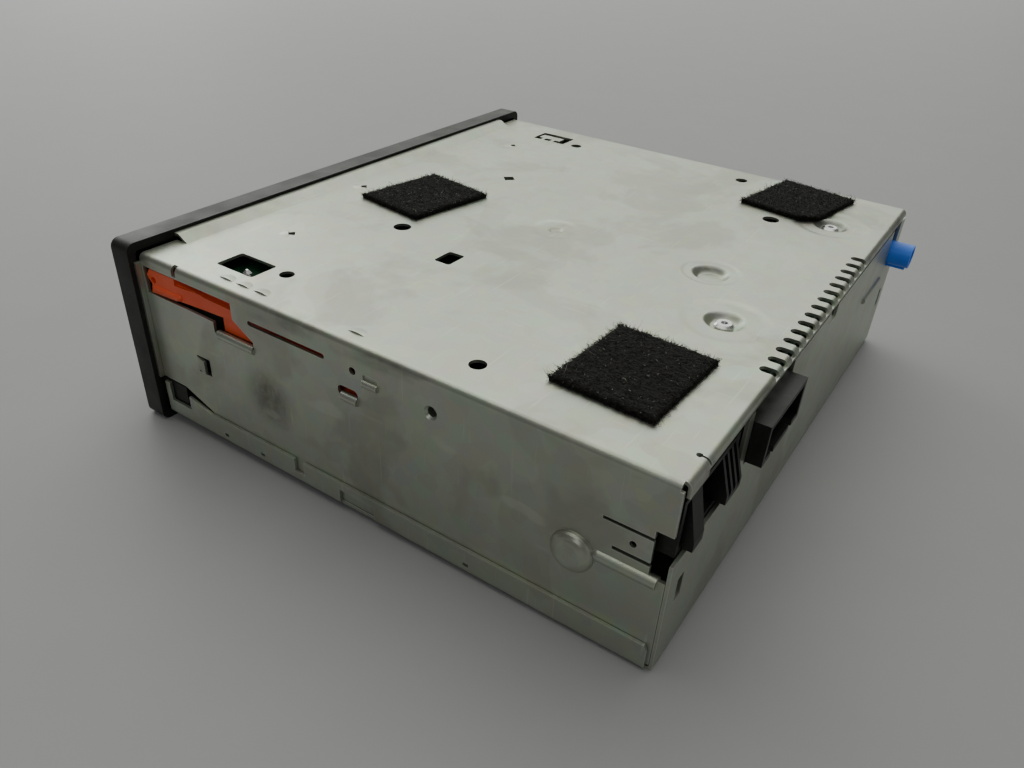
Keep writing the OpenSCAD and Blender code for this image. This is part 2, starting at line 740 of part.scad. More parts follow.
// Fluted dial with a dished face and a pointer groove
module dial(s) {
    back = panel_y - 0.9;
    h = back - dial_front;
    bore = dial_shaft_r + press_gap;
    color(dark) translate([s * dial_x, back, dial_z]) rotate([90, 0, 0]) difference() {
        rotate_extrude() polygon([
            [bore, 3], [dial_shaft_r + 2, 3], [dial_shaft_r + 2, 0], [dial_r, 0], [dial_r, 1.2],
            [dial_r - 0.5, 1.8], [dial_r - 0.5, h - 1.4], [dial_r - 1.4, h],
            [dial_r - 2.4, h], [dial_r - 3, h - 0.5], [0, h - 0.9], [0, h - 2.4], [bore, h - 2.4]
        ]);
        for (i = [0:dial_flutes - 1]) rotate(i * 360 / dial_flutes)
            translate([dial_r, 0, 2.4]) cylinder(r = 0.7, h = h);
        translate([-0.4, dial_r - 4.2, h - 1]) cube([0.8, 5, 2]);
    }
}

board_front = 12;
board_back = case_d - 3;
// Screws that hold the board, under the service windows and the rear holes
board_screw_at = [
    [half_w - 12.5, 27.4], [12.5 - half_w, 27.4], [half_w - 10.5, 106], [10.5 - half_w, 106]
];

module main_board() {
    color(green) difference() {
        translate([board_inset - rail_x, board_front, board_z])
            cube([2 * (rail_x - board_inset), board_back - board_front, board_t]);
        for (p = board_screw_at) translate([p[0], p[1], board_z - 1])
            cylinder(r = screw_r + 0.1, h = board_t + 2);
        for (i = [1, 2]) translate([cup_at[i][0], cup_at[i][1], board_z - 1])
            cylinder(r = screw_r + 0.6, h = board_t + 2);
    }
}

// Chips on the board's top face
chip_at = [[30, 52, 18], [-4, 60, 12], [40, 92, 14], [-30, 118, 12], [12, 104, 9], [-64, 84, 10]];
module board_chips() {
    color(dark) for (c = chip_at) translate([c[0] - c[2] / 2, c[1] - c[2] / 2, board_z + board_t])
        cube([c[2], c[2], 1.2]);
}

// Shield cans of the tuner and the satellite receiver
can_at = [[43 - half_w, 58, 34, 26], [27 - half_w, case_d - 42, 22, 18]];
module shield_cans() {
    color(steel) for (c = can_at) translate([c[0], c[1], board_z + board_t]) difference() {
        translate([-c[2] / 2, -c[3] / 2, 0]) cube([c[2], c[3], 2.2]);
        for (i = [-1.5:1.5]) translate([i * c[2] / 5, 0, 1]) cylinder(r = 0.9, h = 3);
    }
}

// Electrolytic capacitors that hang beside the drive
cap_x = pan_x + 5.6;
cap_r = 4;
cap_h = 11;
cap_at = [[cap_x, 46], [cap_x, 58], [cap_x, 86], [-cap_x, 64], [-cap_x, 76]];
module capacitors() {
    color([0.2, 0.22, 0.28]) for (p = cap_at) translate([p[0], p[1], board_z - cap_h]) rotate_extrude()
        polygon([
            [0, 0], [cap_r - 0.4, 0], [cap_r, 0.5], [cap_r, cap_h - 1],
            [cap_r - 0.4, cap_h - 0.6], [cap_r - 1.4, cap_h], [0, cap_h]
        ]);
}

// Open shroud with a keyed mouth, facing +Y
module shroud(w, h, depth) {
    difference() {
        translate([-w / 2, 0, -h]) cube([w, depth, h]);
        translate([-w / 2 + socket_wall, socket_floor, socket_wall - h])
            cube([w - 2 * socket_wall, depth, h - 2 * socket_wall]);
        // Key grooves in the floor of the mouth
        for (x = [-w / 4, w / 4]) translate([x - 1, depth - 4, -h - 1]) cube([2, 5, 3]);
    }
}

// Depth of the sockets inside the rear wall, and of their mouths' floors
socket_d = 14;
socket_floor = 5;
socket_y = case_d - socket_d;
// Fins and corner post of the corner socket, from its middle
fin_count = 4;
fin_pitch = 2.4;
fin_t = 1;
fin_w = (fin_count - 1) * fin_pitch + fin_t;
fin_x = socket_wall + 0.2 - corner_socket_w / 2;
fin_low = 1.6 - corner_socket_h;
fin_out = 1.6;
corner_post_x = corner_socket_w / 2 - 8.4;
corner_post_w = 5;
corner_post_out = 1.2;

// Side outline of a block that stands out at its foot and leans back into the mouth
module leaning(low, out) {
    polygon([
        [socket_floor - eps, low], [socket_d + out, low], [socket_d + out, low + 2.4],
        [socket_d - 1, -socket_wall + eps], [socket_floor - eps, -socket_wall + eps]
    ]);
}

module main_socket() {
    depth = socket_d + main_socket_out;
    color(dark) translate([main_socket_x, socket_y, board_z]) {
        shroud(main_socket_w, main_socket_h, depth);
        // Latch ramp on the top face
        translate([-3, depth - 4, -socket_wall]) cube([6, 3, socket_wall / 2]);
    }
}

module corner_socket() {
    color(dark) translate([corner_socket_x, socket_y, board_z]) {
        shroud(corner_socket_w, corner_socket_h, socket_d - 1);
        // Fins that stand out of the mouth on a common foot
        for (i = [0:fin_count - 1]) along_x(fin_x + i * fin_pitch, fin_t) leaning(fin_low, fin_out);
        translate([fin_x, socket_d - 3, fin_low]) cube([fin_w, 3 + fin_out, socket_wall]);
        // Post at the case's corner
        along_x(corner_post_x, corner_post_w) leaning(-corner_socket_h, corner_post_out);
    }
}

// Contact pins: columns, rows, width and height of the mouth, length
pin_t = 0.8;
module pins(columns, rows, w, h, len) {
    for (i = [0:columns - 1], j = [0:rows - 1])
        translate([
            (i - (columns - 1) / 2) * w / columns - pin_t / 2, socket_floor,
            -h / 2 + (j - (rows - 1) / 2) * h / (rows + 1) - pin_t / 2
        ]) cube([pin_t, len, pin_t]);
}
module socket_pins() {
    color("goldenrod") {
        translate([main_socket_x, socket_y, board_z])
            pins(8, 2, main_socket_w - 2 * socket_wall, main_socket_h, 9);
        translate([corner_socket_x + fin_x + fin_w / 2, socket_y, board_z])
            pins(fin_count - 1, 2, (fin_count - 1) * fin_pitch, corner_socket_h, 6);
    }
}

// Aerial plug: square base, round snout, key ribs and a bore
module aerial_plug() {
    len = aerial_end - socket_y - 4;
    color([0.15, 0.35, 0.7]) translate([aerial_x, socket_y, aerial_z]) difference() {
        union() {
            translate([-4.6, 0, -4.6]) cube([9.2, 8, aerial_drop + 4.6]);
            rod_y([0, 4, 0], aerial_r, len);
            translate([-0.7, 8, -aerial_r - 0.8]) cube([1.4, len - 5, 1.6]);
            translate([-aerial_r - 0.5, 8, -0.6]) cube([2, len - 6, 1.2]);
        }
        rod_y([0, 6, 0], aerial_r - 1, len + 5);
    }
}

module aerial_contact() {
    color("goldenrod") translate([aerial_x, socket_y, aerial_z]) {
        rod_y([0, 6, 0], 1.9, 8);
        rod_y([0, 13, 0], 0.5, 4);
    }
}

// Finned aluminium block inside the rear wall, with the amplifier before it
sink_x = 65 - half_w;
sink_w = 56;
sink_h = 24;
sink_low = 4;
module heat_sink() {
    color([0.75, 0.76, 0.78]) translate([sink_x, 0, sink_low]) difference() {
        translate([-sink_w / 2, case_d - 11, 0]) cube([sink_w, 11 - sheet_t, sink_h]);
        for (i = [0:8]) translate([-sink_w / 2 + 4 + i * 6, case_d - 7, -1]) cube([2.6, 5.4, sink_h - 3]);
    }
}
module amplifier() {
    color(dark) translate([sink_x - 12, case_d - 15.6, sink_low + 3]) {
        cube([24, 4.6, 15]);
        for (i = [0:10]) translate([1.6 + i * 2, 1.8, 15]) cube([0.6, 0.6, board_z - sink_low - 18]);
    }
}

// Side rail that carries the board, with a foot on the tray
rail_x = half_w - 5;
module rail(s) {
    color(zinc) mirror([s < 0 ? 1 : 0, 0, 0]) {
        difference() {
            union() {
                translate([rail_x - sheet_t, 12, sheet_t]) cube([sheet_t, 126, board_z - sheet_t]);
                translate([rail_x - 10, 12, board_z - sheet_t]) cube([10, 126, sheet_t]);
                for (y = [24, 110]) translate([rail_x - 8, y, sheet_t]) cube([8, 12, sheet_t]);
            }
            for (p = board_screw_at) translate([abs(p[0]), p[1], board_z - 2])
                cylinder(r = screw_r + 0.1, h = 4);
            along_x(rail_x - 2, 4) for (y = [24:20:104]) translate([y, 20]) round_rect(12, 18, 3);
            for (p = cap_at) translate([abs(p[0]), p[1], board_z - 2]) cylinder(r = cap_r + 0.4, h = 4);
            // Room behind the threaded collar for the tip of a mounting screw
            rod_x([rail_x - 2, side_bore_at[0], side_bore_at[1]], side_bore_r + 1.4, 4);
        }
        if (s > 0) for (y = latch_studs) rod_x([rail_x - eps, y, latch_z], latch_stud_r, latch_t + 1.2);
    }
}

pan_z = disc_z - bay_h / 2 - pan_h;
pan_top = pan_z + pan_h;
pan_y = 8;
deck_z = disc_z + bay_h / 2 + 0.9;
spindle_y = pan_y + 68;
roller_y = pan_y + 4;
roller_z = pan_top - 0.1 - roller_r;
gear_x = 3.2 - pan_x;
mesh_roller = gear_module * (roller_teeth + idler_teeth) / 2;
mesh_pinion = gear_module * (idler_teeth + pinion_teeth) / 2;
// Directions, in the YZ plane, from the idler to its two neighbours
to_roller = 139;
to_pinion = -22;
idler_yz = [roller_y - mesh_roller * cos(to_roller), roller_z - mesh_roller * sin(to_roller)];
pinion_yz = [idler_yz[0] + mesh_pinion * cos(to_pinion), idler_yz[1] + mesh_pinion * sin(to_pinion)];

module drive_pan() {
    color(steel) {
        difference() {
            union() {
                along_y(pan_y, drive_d) difference() {
                    translate([-pan_x, pan_z]) square([drive_w, pan_h]);
                    translate([sheet_t - pan_x, pan_z + sheet_t]) square([drive_w - 2 * sheet_t, pan_h]);
                }
                translate([-pan_x, pan_y + drive_d - sheet_t, pan_z]) cube([drive_w, sheet_t, pan_h]);
            }
            rod_x([-pan_x - 1, roller_y, roller_z], roller_shaft_r + shaft_gap, drive_w + 2);
            for (p = tray_feet) translate([p[0], p[1], pan_z - 1]) cylinder(r = 4, h = 3);
            translate([0, spindle_y, pan_z - 1]) linear_extrude(3) round_rect(60, 40, 6);
            for (s = [-1, 1], y = deck_screw_y) rod_x([s * pan_x - 2, y, deck_screw_z], screw_r, 4);
        }
        // Stud of the idler gear
        rod_x([sheet_t - pan_x - eps, idler_yz[0], idler_yz[1]], 1, gear_w + 3);
    }
}

// Side face of the deck and places of its screws
deck_x = pan_x + sheet_gap + sheet_t;
deck_screw_y = [40, 120];
deck_screw_z = pan_top - 1.7;
module drive_deck() {
    color(steel) difference() {
        union() {
            translate([-deck_x, pan_y, deck_z]) cube([2 * deck_x, drive_d, sheet_t]);
            for (x = [-deck_x, deck_x - sheet_t]) translate([x, pan_y, pan_top - 3.4])
                cube([sheet_t, drive_d, deck_z - pan_top + 3.4 + eps]);
        }
        translate([0, spindle_y, deck_z - 1]) cylinder(r = clamp_r + 0.3, h = 3);
        for (s = [-1, 1]) translate([s * 46, spindle_y, deck_z - 1]) linear_extrude(3) round_rect(22, 70, 5);
        for (s = [-1, 1], y = deck_screw_y) rod_x([s * deck_x - 3, y, deck_screw_z], screw_r + 0.1, 6);
    }
}

// Plastic guide over the roller, with a lead-in along the front
module disc_guide() {
    color(dark) along_x(2 - pan_x, drive_w - 4) polygon([
        [pan_y + 0.2, deck_z], [pan_y + 10, deck_z], [pan_y + 10, deck_z - 0.6],
        [pan_y + 3, deck_z - 0.8], [pan_y + 0.2, deck_z - 0.3]
    ]);
}

// Rubber grommets between the tray and the pan
module dampers() {
    low = sheet_t + 0.6;
    rise = pan_z - low;
    color([0.1, 0.1, 0.1]) for (p = tray_feet) translate([p[0], p[1], 0]) rotate_extrude() polygon([
        [0, low], [4.1, low], [5.6, low + 0.25 * rise], [4.6, low + 0.5 * rise],
        [5.6, low + 0.75 * rise], [5.6, pan_z - 0.1], [3.9, pan_z - 0.1], [3.9, pan_z + sheet_t + 0.1],
        [5.2, pan_z + sheet_t + 0.1], [4.4, pan_z + sheet_t + 1.8], [0, pan_z + sheet_t + 1.8]
    ]);
}

clamp_r = 14;
module disc_clamp() {
    deck_top = sheet_t;
    color(dark) translate([0, spindle_y, deck_z]) rotate_extrude() polygon([
        [0, -0.8], [clamp_r - 2, -0.8], [clamp_r, -0.2], [clamp_r, deck_top],
        [clamp_r + 3, deck_top], [clamp_r + 3, deck_top + 0.8], [8, deck_top + 1],
        [6, deck_top + 1.8], [0, deck_top + 1.8]
    ]);
}

plate_z = pan_z + 9;
plate_t = 1.2;
plate_end = 46;
rod_z = plate_z + 6;
rod_y1 = spindle_y - 16;
rod_y2 = spindle_y + 18;
sled_x = -sled_in;
// Room that the rods leave at the pan's wall, and the half length of the sled's bearing
rod_room = 2.8;
bearing_half = 7;
rod_x0 = rod_room - pan_x;
// Plate that carries the spindle motor and the sled's rods
module traverse_plate() {
    color(steel) difference() {
        union() {
            translate([rod_x0, spindle_y - 24, plate_z]) cube([plate_end - rod_x0, 48, plate_t]);
            for (x = [rod_x0 + 6, plate_end - 6], y = [-20, 20])
                translate([x, spindle_y + y, pan_z + sheet_t])
                    cylinder(r = 2.5, h = plate_z - pan_z - sheet_t + eps);
            for (x = [rod_x0, -12], y = [rod_y1, rod_y2]) translate([x, y - 3, plate_z])
                cube([3, 6, rod_z - plate_z + 3]);
            translate([0, rod_y2 - 5.5, plate_z]) cube([plate_t, 11, rod_z - plate_z + 4.4]);
        }
        rod_x([rod_x0 - 1, rod_y1, rod_z], rod_r + press_gap, 24 - rod_x0);
        rod_x([rod_x0 - 1, rod_y2, rod_z], rod_r + shaft_gap, 24 - rod_x0);
        // Window for the sled's body
        translate([rod_x0 + 5, rod_y1 + 4, plate_z - 1]) cube([-20 - rod_x0, 24, 4]);
    }
}

module spindle_motor() {
    color(steel) translate([0, spindle_y, 0]) rotate_extrude() polygon([
        [1 + shaft_gap, plate_z + plate_t], [10, plate_z + plate_t], [10, plate_z + 3], [11, plate_z + 3.4],
        [11, pan_top - 5.6], [10.4, pan_top - 5], [1 + shaft_gap, pan_top - 5]
    ]);
}

module turntable() {
    color(dark) translate([0, spindle_y, 0]) rotate_extrude() polygon([
        [0, plate_z + 2], [1, plate_z + 2], [1, pan_top - 4.6], [turntable_r - 1, pan_top - 4.6],
        [turntable_r, pan_top - 4], [turntable_r, pan_top - 2.6], [7.4, pan_top - 2.6],
        [7.4, pan_top - 1.4], [5.6, pan_top - 0.2], [0, pan_top - 0.2]
    ]);
}

module guide_rod() {
    color("silver") rod_x([rod_x0 + 0.2, rod_y1, rod_z], rod_r, -9.2 - rod_x0);
}
module lead_screw() {
    color("silver") {
        rod_x([rod_x0 + 0.2, rod_y2, rod_z], rod_r, -0.6 - rod_x0);
        rod_x([-0.5, rod_y2, rod_z], 1, 6);
    }
}
module sled_motor() {
    color(steel) difference() {
        rod_x([plate_t, rod_y2, rod_z], 4.6, 18);
        rod_x([0, rod_y2, rod_z], 1 + shaft_gap, 8);
    }
}

// Optical sled: body between a rod bearing and a half nut
module pickup_sled() {
    color(dark) difference() {
        union() {
            translate([sled_x - bearing_half, rod_y1 - 2.6, rod_z - 2.6]) cube([2 * bearing_half, 5.2, 5.2]);
            translate([sled_x - 6, rod_y1 + 2.5, rod_z - 2.4]) cube([12, 24.6, 5]);
            translate([sled_x - 4, rod_y1 + 27, rod_z - 2.2])
                cube([8, rod_y2 - rod_r - 0.15 - rod_y1 - 27, 5]);
            translate([sled_x, spindle_y, rod_z + 2.5]) cylinder(r = 5, h = 1.6);
        }
        rod_x([sled_x - bearing_half - 1, rod_y1, rod_z], rod_r + shaft_gap, 2 * bearing_half + 2);
        translate([sled_x, spindle_y, rod_z + 1]) cylinder(r = 2.6, h = 6);
    }
}
module pickup_lens() {
    color([0.55, 0.65, 0.85]) translate([sled_x, spindle_y, rod_z + 1]) rotate_extrude()
        polygon([[0, 0], [2.5, 0], [2.5, 2.2], [1.8, 2.8], [0, 3.2]]);
}

// Involute gear outline
function involute(rb, r) = let(a = sqrt(max(0, pow(r / rb, 2) - 1))) a * 180 / PI - atan(a);
function tooth_half(z, r, rb, m) =
    (90 - gear_play / (m * PI) * 180) / z + involute(rb, m * z / 2) - involute(rb, max(r, rb));
module gear2d(z) {
    m = gear_module;
    rb = m * z / 2 * cos(20);
    rr = m * (z / 2 - 1.25);
    ra = m * (z / 2 + 0.9);
    radii = [rr, for (k = [0:4]) max(rb, rr + 0.1) + (ra - max(rb, rr + 0.1)) * k / 4];
    polygon([for (t = [0:z - 1], side = [-1, 1], k = [0:5])
        let(r = radii[side < 0 ? k : 5 - k], a = t * 360 / z + side * tooth_half(z, r, rb, m))
            [r * cos(a), r * sin(a)]]);
}

// Gear on an axis along X, with one tooth at the given angle in the YZ plane
module gear(z, yz, phase, bore) {
    difference() {
        along_x(gear_x, gear_w) translate(yz) rotate(phase) gear2d(z);
        rod_x([gear_x - 1, yz[0], yz[1]], bore, gear_w + 2);
    }
}
motor_shaft_r = 0.8;
idler_step = 360 / idler_teeth;
mesh_shift = ((to_pinion - to_roller) % idler_step + idler_step) % idler_step;
module roller_gear() {
    phase = to_roller + 180 + 180 / roller_teeth;
    color("ivory") gear(roller_teeth, [roller_y, roller_z], phase, roller_shaft_r + press_gap);
}
module idler_gear() {
    color("ivory") gear(idler_teeth, idler_yz, to_roller, 1 + shaft_gap);
}
module loading_pinion() {
    phase = to_pinion + 180 + 180 / pinion_teeth + mesh_shift * idler_teeth / pinion_teeth;
    color("ivory") {
        gear(pinion_teeth, pinion_yz, phase, motor_shaft_r - eps);
        rod_x([gear_x - eps, pinion_yz[0], pinion_yz[1]], motor_shaft_r, gear_w + 8);
    }
}
module loading_motor() {
    color(steel) difference() {
        union() {
            rod_x([gear_x + gear_w + 1, pinion_yz[0], pinion_yz[1]], 6, 20);
            translate([gear_x + gear_w + 4, pinion_yz[0] - 5, pan_z + sheet_t])
                cube([14, 10, pinion_yz[1] - pan_z - sheet_t]);
        }
        rod_x([gear_x, pinion_yz[0], pinion_yz[1]], motor_shaft_r + shaft_gap, gear_w + 9);
    }
}
module loading_roller() {
    len = drive_w - 18;
    bore = roller_shaft_r + press_gap;
    color([0.15, 0.15, 0.15]) translate([-len / 2, roller_y, roller_z]) rotate([0, 90, 0])
        rotate_extrude() polygon([
            [bore, 0], [roller_r, 0], [roller_r, len * 0.12], [roller_waist_r, len / 2],
            [roller_r, len * 0.88], [roller_r, len], [bore, len]
        ]);
}
module roller_shaft() {
    color("silver") rod_x([0.1 - pan_x, roller_y, roller_z], roller_shaft_r, drive_w - 0.2);
}
// Latch in the right wall: a long bar with a finger block at the front
latch_z = case_h - 6.4;
latch_studs = [50, 74];
latch_x = rail_x + 0.3;
latch_face = latch_x + latch_t - eps;
arm_x = inner_x - 0.3;
block_out = half_w - 0.3;
block_end = 13;
ramp_end = 22;
finger_rib_r = 0.9;
module latch_slider() {
    color([0.72, 0.3, 0.14]) difference() {
        union() {
            along_x(latch_x, latch_t) polygon([
                [2, latch_low + 0.4], [2, latch_top - 0.4], [84, latch_top - 0.4], [84, latch_low - 6],
                [66, latch_low - 6], [66, latch_low + 1.2], [44, latch_low + 1.2], [42, latch_low - 2.6],
                [29.5, latch_low - 2.6], [29.5, latch_low + 1.6]
            ]);
            // Arm that shows in the window
            along_x(latch_face, arm_x - latch_face) polygon([
                [10, latch_low + 0.6], [10, latch_top - 2], [20, latch_top - 2.2], [24, latch_top - 2.8],
                [36, latch_top - 3], [36, latch_low + 2.4], [29.5, latch_low + 1.6]
            ]);
            // Ramp from the finger block down to the arm
            translate([0, 0, latch_low + 1.2]) linear_extrude(latch_window_h - 3.6) polygon([
                [latch_face, block_end - 1], [block_out, block_end - 1], [block_out, block_end],
                [arm_x, ramp_end], [latch_face, ramp_end]
            ]);
            // Foot of the arm, set back a little
            along_x(latch_face, arm_x - 0.5 - latch_face) polygon([
                [29.5, latch_low + 1.7], [36, latch_low + 2.5], [41.6, latch_low - 1.6],
                [41.6, latch_low - 2.6], [29.5, latch_low - 2.6]
            ]);
            // Finger block with a nose at its front end
            along_x(latch_face, block_out - latch_face) polygon([
                [1.6, latch_top - 2.4], [3, latch_top - 0.5], [block_end, latch_top - 0.4],
                [block_end, latch_low + 0.9], [2.4, latch_low + 0.4], [3.2, latch_top - 4.6],
                [2, latch_top - 3.4]
            ]);
            // Finger rib
            rod_y([block_out - 0.2, 4.6, latch_low + 2.2], finger_rib_r, 9.6);
            for (y = [4.6, 14.2]) translate([block_out - 0.2, y, latch_low + 2.2]) sphere(finger_rib_r);
        }
        // Hollow under the nose
        along_x(latch_face + 0.6, 4) translate([4, latch_top - 3.5]) circle(1);
        along_x(latch_x - 1, 8) for (y = latch_studs)
            translate([y - latch_travel - latch_stud_r - 0.1, latch_z])
                slot2d(latch_travel + 2 * latch_stud_r + 0.2, 2 * latch_stud_r + 0.2);
    }
}

// Felt pads on the cover: place, turn and the corner cut off
pad_front_at = [7.4, 30.4];
pad_left_at = [19.6 - half_w, case_d - 31];
pad_right_at = [half_w - 29, case_d - 25.5];
module pad(at, turn, cut) {
    color(dark) translate([at[0], at[1], case_h]) rotate(turn) linear_extrude(pad_t) difference() {
        square([pad_l, pad_w], center = true);
        if (cut > 0) translate([pad_l / 2, pad_w / 2]) rotate(45) square(cut * sqrt(2), center = true);
    }
}

// Pan-head screw along +Z with its head's top at Z = 0 and a ringed shank
thread_pitch = 0.8;
thread_d = 0.24;
tip_l = 0.9;
module screw(len) {
    rings = floor((len - tip_l) / thread_pitch);
    start = screw_head_h + len - tip_l - rings * thread_pitch;
    thread = [for (i = [0:rings - 1], k = [0, 1])
        [k == 0 ? screw_r : screw_r - thread_d, start + (i + k * 0.6) * thread_pitch]];
    rotate_extrude() polygon(concat(
        [[0, 0.5], [0.9, 0.5], [0.9, 0], [screw_head_r - 0.6, 0], [screw_head_r, 0.5],
            [screw_head_r, screw_head_h], [screw_r, screw_head_h]],
        thread,
        [[screw_r, screw_head_h + len - tip_l], [0.3, screw_head_h + len], [0, screw_head_h + len]]
    ));
}
module board_screws() {
    color("silver") for (p = board_screw_at)
        translate([p[0], p[1], board_z - sheet_t - screw_head_h]) screw(5.4);
}
module cover_screws() {
    color("silver") for (i = [1, 2])
        translate([cup_at[i][0], cup_at[i][1], case_h - cup_depth + screw_head_h]) mirror([0, 0, 1]) screw(7);
}
// Screws of the front frame and of the drive's deck
module chassis_screws() {
    color("silver") for (s = [-1, 1], z = post_z)
        translate([s * post_x, frame_d + screw_head_h, z]) rotate([90, 0, 0]) screw(5);
    color("silver") for (s = [-1, 1], y = deck_screw_y)
        translate([s * (deck_x + screw_head_h), y, deck_screw_z]) rotate([0, -s * 90, 0]) screw(2.4);
}

place() top_cover();
place() bottom_tray();
place() front_frame();
place() front_bezel();
place() display_lens();
place() display_module();
place() front_board();
place() key_switches();
place() encoders();
place() dial_shaft(-1);  // left_shaft
place() dial_shaft(1);  // right_shaft
place() dial(-1);  // left_dial
place() dial(1);  // right_dial
place() key(0);  // key_1
place() key(1);  // key_2
place() key(2);  // key_3
place() key(3);  // key_4
place() key(4);  // key_5
place() key(5);  // key_6
place() key(6);  // key_source
place() key(7);  // key_eject
place() main_board();
place() board_chips();
place() shield_cans();
place() capacitors();
place() main_socket();
place() corner_socket();
place() socket_pins();
place() aerial_plug();
place() aerial_contact();
place() heat_sink();
place() amplifier();
place() rail(-1);  // left_rail
place() rail(1);  // right_rail
place() drive_pan();
place() drive_deck();
place() disc_guide();
place() dampers();
place() disc_clamp();
place() traverse_plate();
place() spindle_motor();
place() turntable();
place() guide_rod();
place() lead_screw();
place() sled_motor();
place() pickup_sled();
place() pickup_lens();
place() loading_motor();
place() loading_pinion();
place() idler_gear();
place() roller_gear();
place() loading_roller();
place() roller_shaft();
place() latch_slider();
place() pad(pad_front_at, -9, 0);  // felt_pad_front
place() pad(pad_left_at, -10.5, 5);  // felt_pad_left
place() pad(pad_right_at, -2.5, 0);  // felt_pad_right
place() board_screws();
place() cover_screws();
place() chassis_screws();
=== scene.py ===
"""Looks of the car navigation head unit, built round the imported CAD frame."""

import json
import math
import random

import bmesh
import bpy
from mathutils import Matrix, Vector, noise


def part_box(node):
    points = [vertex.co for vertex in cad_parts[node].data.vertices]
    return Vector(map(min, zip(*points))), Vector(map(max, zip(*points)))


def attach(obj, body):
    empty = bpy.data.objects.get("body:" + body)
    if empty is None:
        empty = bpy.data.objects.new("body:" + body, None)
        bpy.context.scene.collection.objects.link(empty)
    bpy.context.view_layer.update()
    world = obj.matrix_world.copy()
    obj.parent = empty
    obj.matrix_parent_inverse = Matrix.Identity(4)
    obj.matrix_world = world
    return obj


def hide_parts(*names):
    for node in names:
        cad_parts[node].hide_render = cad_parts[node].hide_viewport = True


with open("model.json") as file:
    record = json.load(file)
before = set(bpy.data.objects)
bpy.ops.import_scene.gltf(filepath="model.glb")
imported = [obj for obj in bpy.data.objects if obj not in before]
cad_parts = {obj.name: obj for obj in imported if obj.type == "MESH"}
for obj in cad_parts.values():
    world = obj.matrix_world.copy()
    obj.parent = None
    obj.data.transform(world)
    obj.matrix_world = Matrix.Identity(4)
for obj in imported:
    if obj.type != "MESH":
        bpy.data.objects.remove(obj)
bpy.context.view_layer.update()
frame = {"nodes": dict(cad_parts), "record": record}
NODES = frame["nodes"]
MM = 0.001

# Camera: the photograph's own view, found from the straight edges of the case
CAMERA_PLACE = Vector((200.14, 116.91, 144.92)) * MM
CAMERA_AZIMUTH = math.radians(57.517)
CAMERA_ELEVATION = math.radians(32.960)
CAMERA_ROLL = math.radians(3.072)
SENSOR = 36.0
PHOTO_WIDTH = 1024
FOCAL_PIXELS = 813.98
LENS = FOCAL_PIXELS / PHOTO_WIDTH * SENSOR
NEAR_CLIP = 10 * MM

# The unit rests on the bezel's lower edge and on the tray's rear lower edge
BEZEL_LINE_Y = -79.0 * MM
REAR_LINE = (84.5 * MM, 2.8 * MM)
FLOOR_SIZE = 12
FLOOR_GAP = 0.05 * MM

# Marks on the sheet: a smudge on the right wall, and grime along the top fold, given as the
# heights between which it grows and fades
SMUDGE_PLACE = (89 * MM, -27.0 * MM, 25.8 * MM)
SMUDGE_RADIUS = 6.6 * MM
SMUDGE_FEATHER = 4.6 * MM
GRIME_START = (47.8 * MM, 51.2 * MM)
GRIME_END = (52.7 * MM, 51.8 * MM)

# Width of the worn line on an edge; on the sheet this line is also a painted highlight
SHEET_WEAR_AND_HIGHLIGHT_EDGE = 0.45 * MM
METAL_EDGE = 0.3 * MM
PLASTIC_EDGE = 0.35 * MM

BLACK = (0.0052, 0.0051, 0.0049, 1)
SOFT_BLACK = (0.0115, 0.0112, 0.0104, 1)


# Node helpers


